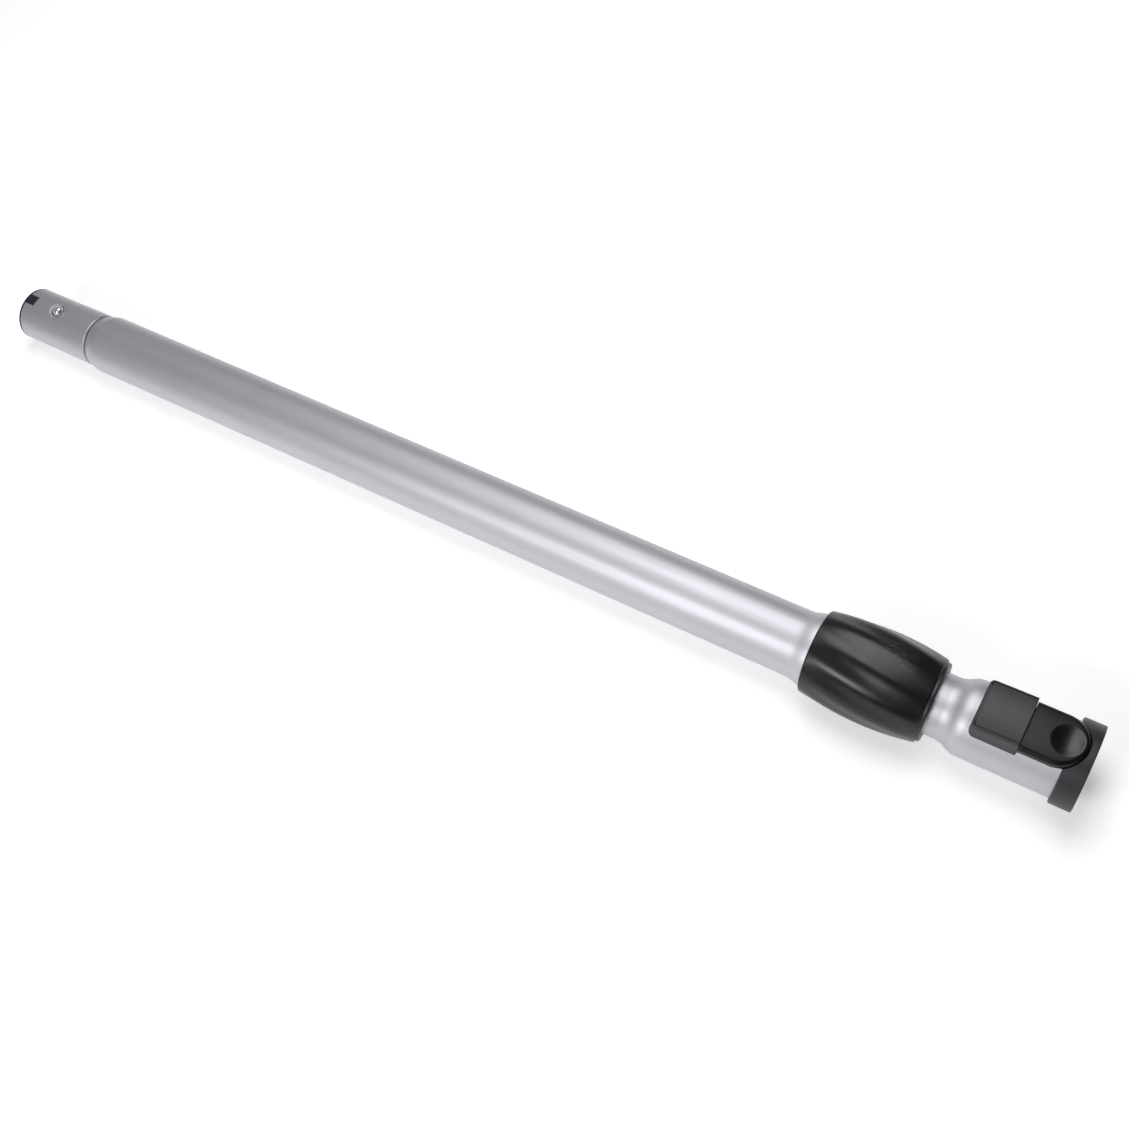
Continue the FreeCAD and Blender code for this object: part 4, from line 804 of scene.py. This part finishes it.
class WAND_OT_cover(bpy.types.Operator):
    """Shape the latch cover: crowned roof, shadow groove, leaning sides"""

    bl_idname = "wand.cover"
    bl_label = "Latch cover"

    SUNK = 1.1  # how deep the block reaches below its foot before the saddle is cut
    MOUTH_CORNER, MOUTH_LEAN = 0.5, 0.03  # the upright end is nearly square
    LEAST_CORNER = 0.1  # radius left of a corner that is drawn in
    CORNER_POINTS, SIDE_PARTS = 9, 16
    HEADROOM = 0.05  # the roof stays this far below the CAD cover's top
    GROOVE = ((0.5, 0), (0.7, 1), (1.6, 1), (1.9, 0))  # across and down, in groove widths
    CAVITY = 4.2  # its ceiling above the socket tube
    MOUTH_PLAY, SIDE_PLAY = 0.5, 1.0  # round the lever
    SEAT = 0.03  # between the saddle and the socket tube
    ARCH, ARCH_PARTS = 0.4, 12  # of the ceilings in it
    OVERSHOOT = 5.0  # how far a cutting form sticks out
    OVERLAP = 0.4  # of the two cutting forms
    SADDLE_SIDES, SADDLE_CORE = 192, 0.01  # the core keeps its section off the axis

    def execute(self, context):
        self.size = context.scene.wand_latch
        self.lean = math.tan(self.size.cover_taper)
        self.floor = COVER[0].z - self.SUNK
        self.low_x, self.high_x = COVER[0].x - self.lean * self.SUNK, COVER[1].x
        self.half = COVER[1].y + self.lean * self.SUNK
        shape = bmesh.new()
        skin_over(shape, self.rings(), closed=False)
        hood = taken(shape, "hood")
        mesh = shaped(hood, self.hollow)
        on_the_wand("latch_hood", mesh, "matte", "inner", "latch_cover")
        for tool in self.tools:
            bpy.data.objects.remove(tool)
        return {"FINISHED"}

    def plan(self, inset):
        """The cover's outline from above, drawn in by an inset everywhere
        but at its upright mouth, where the corners are nearly square."""
        low, high, half = self.low_x + inset, self.high_x - self.MOUTH_LEAN * inset, self.half - inset
        points = []
        for x, y, radius, first, inward in (
                (low, -half, self.size.cover_corner, 180, 1), (high, -half, self.MOUTH_CORNER, 270, -1),
                (high, half, self.MOUTH_CORNER, 0, -1), (low, half, self.size.cover_corner, 90, 1)):
            radius = max(self.LEAST_CORNER, radius - inset)
            cx, cy = x + inward * radius, y - math.copysign(radius, y)
            for degrees in evenly(first, first + 90, self.CORNER_POINTS - 1):
                angle = math.radians(degrees)
                points.append((cx + radius * math.cos(angle), cy + radius * math.sin(angle)))
        return self.divided(points)

    def divided(self, points):
        """The same outline with more points on its long sides."""
        path = []
        for i, (x, y) in enumerate(points):
            nx, ny = points[(i + 1) % len(points)]
            parts = self.SIDE_PARTS if (i + 1) % self.CORNER_POINTS == 0 else 1
            path += [(x + (nx - x) * k / parts, y + (ny - y) * k / parts) for k in range(parts)]
        return path

    def roof(self, x, y):
        """Height of the crowned roof, which rises towards the mouth."""
        share = (COVER[1].x - x) / (COVER[1].x - COVER[0].x)
        fall = self.size.cover_fall * share + self.size.cover_crown * (y / self.half) ** 2
        return COVER[1].z - self.HEADROOM - fall

    def rings(self):
        """Rings from the foot up the sides, over the rounded edge, through
        the groove and in over the roof."""
        edge, groove = self.size.cover_edge, self.size.cover_groove
        bends, steps, innermost = 6, 12, 0.02
        bands = [(edge * (1 - math.cos(a)), edge * (1 - math.sin(a)))
                 for a in evenly(0.0, math.pi / 2, bends)]
        bands += [(edge + across * groove, down * groove) for across, down in self.GROOVE]
        foot = self.plan(0.0)
        rings = [[(x, y, self.floor) for x, y in foot]]
        for inward, below in bands:
            rings.append([])
            for i, (x, y) in enumerate(foot):
                wall = self.lean * (self.roof(x, y) - edge - self.floor)
                px, py = self.plan(wall + inward)[i]
                rings[-1].append((px, py, self.roof(px, py) - below))
        brink = rings[-1]
        middle = (self.low_x + self.high_x) / 2
        for share in evenly(1.0, innermost, steps)[1:]:
            ring = [(middle + (x - middle) * share, y * share) for x, y, z in brink]
            rings.append([(x, y, self.roof(x, y)) for x, y in ring])
        return rings

    def hollow(self, carrier):
        """Cut the saddle for the socket tube, the cavity and the mouth."""
        wall, seat = self.size.cover_wall, SOCKET_RADIUS + self.SEAT
        low, high = self.low_x - self.OVERSHOOT, self.high_x + self.OVERSHOOT
        inner = self.half - wall - self.SIDE_PLAY
        mouth = SOCKET_RADIUS + self.size.lever_rise + self.MOUTH_PLAY
        section = [(low, self.SADDLE_CORE), (high, self.SADDLE_CORE), (high, seat), (low, seat)]
        saddle = lathe([(x, radius, 0.0) for x, radius in section], self.SADDLE_SIDES)
        cavity = self.vault(self.low_x + wall, self.high_x - wall, inner, SOCKET_RADIUS + self.CAVITY)
        opening = self.vault(self.high_x - wall - self.OVERLAP, high, inner, mouth)
        self.tools = [self.tool(carrier, form) for form in (saddle, cavity, opening)]

    def vault(self, low, high, half, ceiling):
        """A cutting form with a slightly arched ceiling."""
        shape = bmesh.new()
        arch = [(share * half, ceiling - self.ARCH * share ** 2)
                for share in evenly(1.0, -1.0, self.ARCH_PARTS)]
        ring = [(-half, 0.0), (half, 0.0)] + arch
        skin_over(shape, [[(x, y, z) for y, z in ring] for x in (low, high)], closed=False)
        return taken(shape, "vault")

    def tool(self, carrier, mesh):
        """Subtract a mesh from the carrier."""
        cutter = bpy.data.objects.new("cutter", mesh)
        bpy.context.scene.collection.objects.link(cutter)
        cut = carrier.modifiers.new("cut", "BOOLEAN")
        cut.operation, cut.solver, cut.object = "DIFFERENCE", "EXACT", cutter
        return cutter


class WAND_OT_stage(bpy.types.Operator):
    """Lay the floor, hang the lamps and set the camera"""

    bl_idname = "wand.stage"
    bl_label = "Floor, light and camera"

    FLOOR_HALF = 8.0  # metres
    FLOOR_GLOW = 0.35  # what lifts the lit paper to white
    # Place and aim in the wand's millimetres, width and depth in metres, power in watts
    LAMPS = (("overhead_box", (330, 330, 900), (330, 0, 0), 0.50, 0.85, 6.2),
             ("front_box", (270, -760, 580), (400, 0, 0), 0.42, 0.34, 4.6))
    # The photograph's viewpoint in the wand's frame, and its lens and sensor in millimetres
    VIEWPOINT = (639.5, -259.7, 627.0)
    VIEW_RIGHT, VIEW_UP = (0.8584, 0.4919, -0.1457), (-0.3790, 0.7995, 0.4661)
    LENS, SENSOR = 43.58, 36.0

    def execute(self, context):
        self.floor()
        self.world(context)
        self.lamps()
        self.camera(context)
        context.scene.view_settings.view_transform = "Standard"
        return {"FINISHED"}

    def floor(self):
        """White paper. What lenses, metal and glass see of it is lifted to
        white, and it keeps the wand's shadow."""
        material = bpy.data.materials.new("white_paper")
        material.use_nodes = True
        tree = material.node_tree
        tree.nodes.clear()
        ray = add(tree, "ShaderNodeLightPath").outputs
        seen = add(tree, "ShaderNodeMath", {0: ray["Is Camera Ray"], 1: ray["Is Glossy Ray"]},
                   operation="MAXIMUM")
        seen = add(tree, "ShaderNodeMath", {0: seen.outputs[0], 1: ray["Is Transmission Ray"]},
                   operation="MAXIMUM")
        lift = add(tree, "ShaderNodeMath", {0: seen.outputs[0], 1: self.FLOOR_GLOW}, operation="MULTIPLY")
        paper = add(tree, "ShaderNodeBsdfDiffuse", {"Color": linear("#F4F4F4")})
        glow = add(tree, "ShaderNodeEmission", {"Strength": lift.outputs[0], "Color": linear("#FFFFFF")})
        both = add(tree, "ShaderNodeAddShader", {0: paper.outputs["BSDF"], 1: glow.outputs["Emission"]})
        add(tree, "ShaderNodeOutputMaterial", {"Surface": both.outputs["Shader"]})
        half = self.FLOOR_HALF
        mesh = bpy.data.meshes.new("floor")
        corners = [(-half, -half, 0), (half, -half, 0), (half, half, 0), (-half, half, 0)]
        mesh.from_pydata(corners, [], [(0, 1, 2, 3)])
        mesh.materials.append(material)
        floor = bpy.data.objects.new("floor", mesh)
        bpy.context.scene.collection.objects.link(floor)

    def world(self, context):
        """A grey studio that is darker beyond the socket's end."""
        world = bpy.data.worlds.new("studio")
        context.scene.world = world
        world.use_nodes = True
        tree = world.node_tree
        tree.nodes.clear()
        way = add(tree, "ShaderNodeTexCoord").outputs["Generated"]
        along = add(tree, "ShaderNodeVectorMath", {0: way, 1: ALONG}, operation="DOT_PRODUCT")
        level = add(tree, "ShaderNodeMapRange", {
            "Value": along.outputs["Value"], "From Min": -0.7, "From Max": 0.2,
            "To Min": 0.38, "To Max": 0.13})
        sky = add(tree, "ShaderNodeBackground", {
            "Strength": level.outputs["Result"], "Color": linear("#FFFFFF")})
        add(tree, "ShaderNodeOutputWorld", {"Surface": sky.outputs["Background"]})

    def lamps(self):
        """Two soft boxes near the socket's end: overhead and in front."""
        for name, place, aim, width, depth, power in self.LAMPS:
            lamp = bpy.data.lights.new(name, "AREA")
            lamp.shape = "RECTANGLE"
            lamp.size, lamp.size_y = width, depth
            lamp.energy = power
            holder = bpy.data.objects.new(name, lamp)
            bpy.context.scene.collection.objects.link(holder)
            holder.location = spot(*place)
            holder.rotation_mode = "QUATERNION"
            holder.rotation_quaternion = (spot(*aim) - spot(*place)).to_track_quat("-Z", "Y")

    def camera(self, context):
        """Set the camera at the photograph's viewpoint."""
        right, up = Vector(self.VIEW_RIGHT), Vector(self.VIEW_UP)
        back = right.cross(up).normalized()
        right = up.cross(back).normalized()
        lens = bpy.data.cameras.new("camera")
        lens.sensor_width, lens.lens = self.SENSOR, self.LENS
        lens.clip_start, lens.clip_end = 0.01, 50.0
        holder = bpy.data.objects.new("camera", lens)
        context.scene.collection.objects.link(holder)
        holder.rotation_mode = "QUATERNION"
        turn = TURN @ Matrix((right, back.cross(right), back)).transposed()
        holder.rotation_quaternion = turn.to_quaternion()
        holder.location = spot(*self.VIEWPOINT)
        context.scene.camera = holder


class WAND_PT_panel(bpy.types.Panel):
    """Lists the colours, sizes and steps of the wand"""

    bl_label = "Telescopic wand"
    bl_idname = "WAND_PT_panel"
    bl_space_type = "VIEW_3D"
    bl_region_type = "UI"
    bl_category = "Wand"

    def draw(self, context):
        scene = context.scene
        for group in (scene.wand_colours, scene.wand_sleeve, scene.wand_latch):
            for name in group.__annotations__:
                self.layout.prop(group, name)
        for step in OPERATORS:
            self.layout.operator(step.bl_idname)


OPERATORS = (WAND_OT_finishes, WAND_OT_sleeve, WAND_OT_spring, WAND_OT_leaves, WAND_OT_lever,
             WAND_OT_cover, WAND_OT_stage)
CLASSES = (WandColours, SleeveSizes, LatchSizes) + OPERATORS + (WAND_PT_panel,)


def register():
    for each in CLASSES:
        bpy.utils.register_class(each)
    bpy.types.Scene.wand_colours = bpy.props.PointerProperty(type=WandColours)
    bpy.types.Scene.wand_sleeve = bpy.props.PointerProperty(type=SleeveSizes)
    bpy.types.Scene.wand_latch = bpy.props.PointerProperty(type=LatchSizes)


def unregister():
    del bpy.types.Scene.wand_latch
    del bpy.types.Scene.wand_sleeve
    del bpy.types.Scene.wand_colours
    for each in reversed(CLASSES):
        bpy.utils.unregister_class(each)


def main():
    register()
    bpy.ops.wand.finishes()
    bpy.ops.wand.sleeve()
    bpy.ops.wand.spring()
    bpy.ops.wand.leaves()
    bpy.ops.wand.lever()
    bpy.ops.wand.cover()
    bpy.ops.wand.stage()


if __name__ == "__main__":
    main()
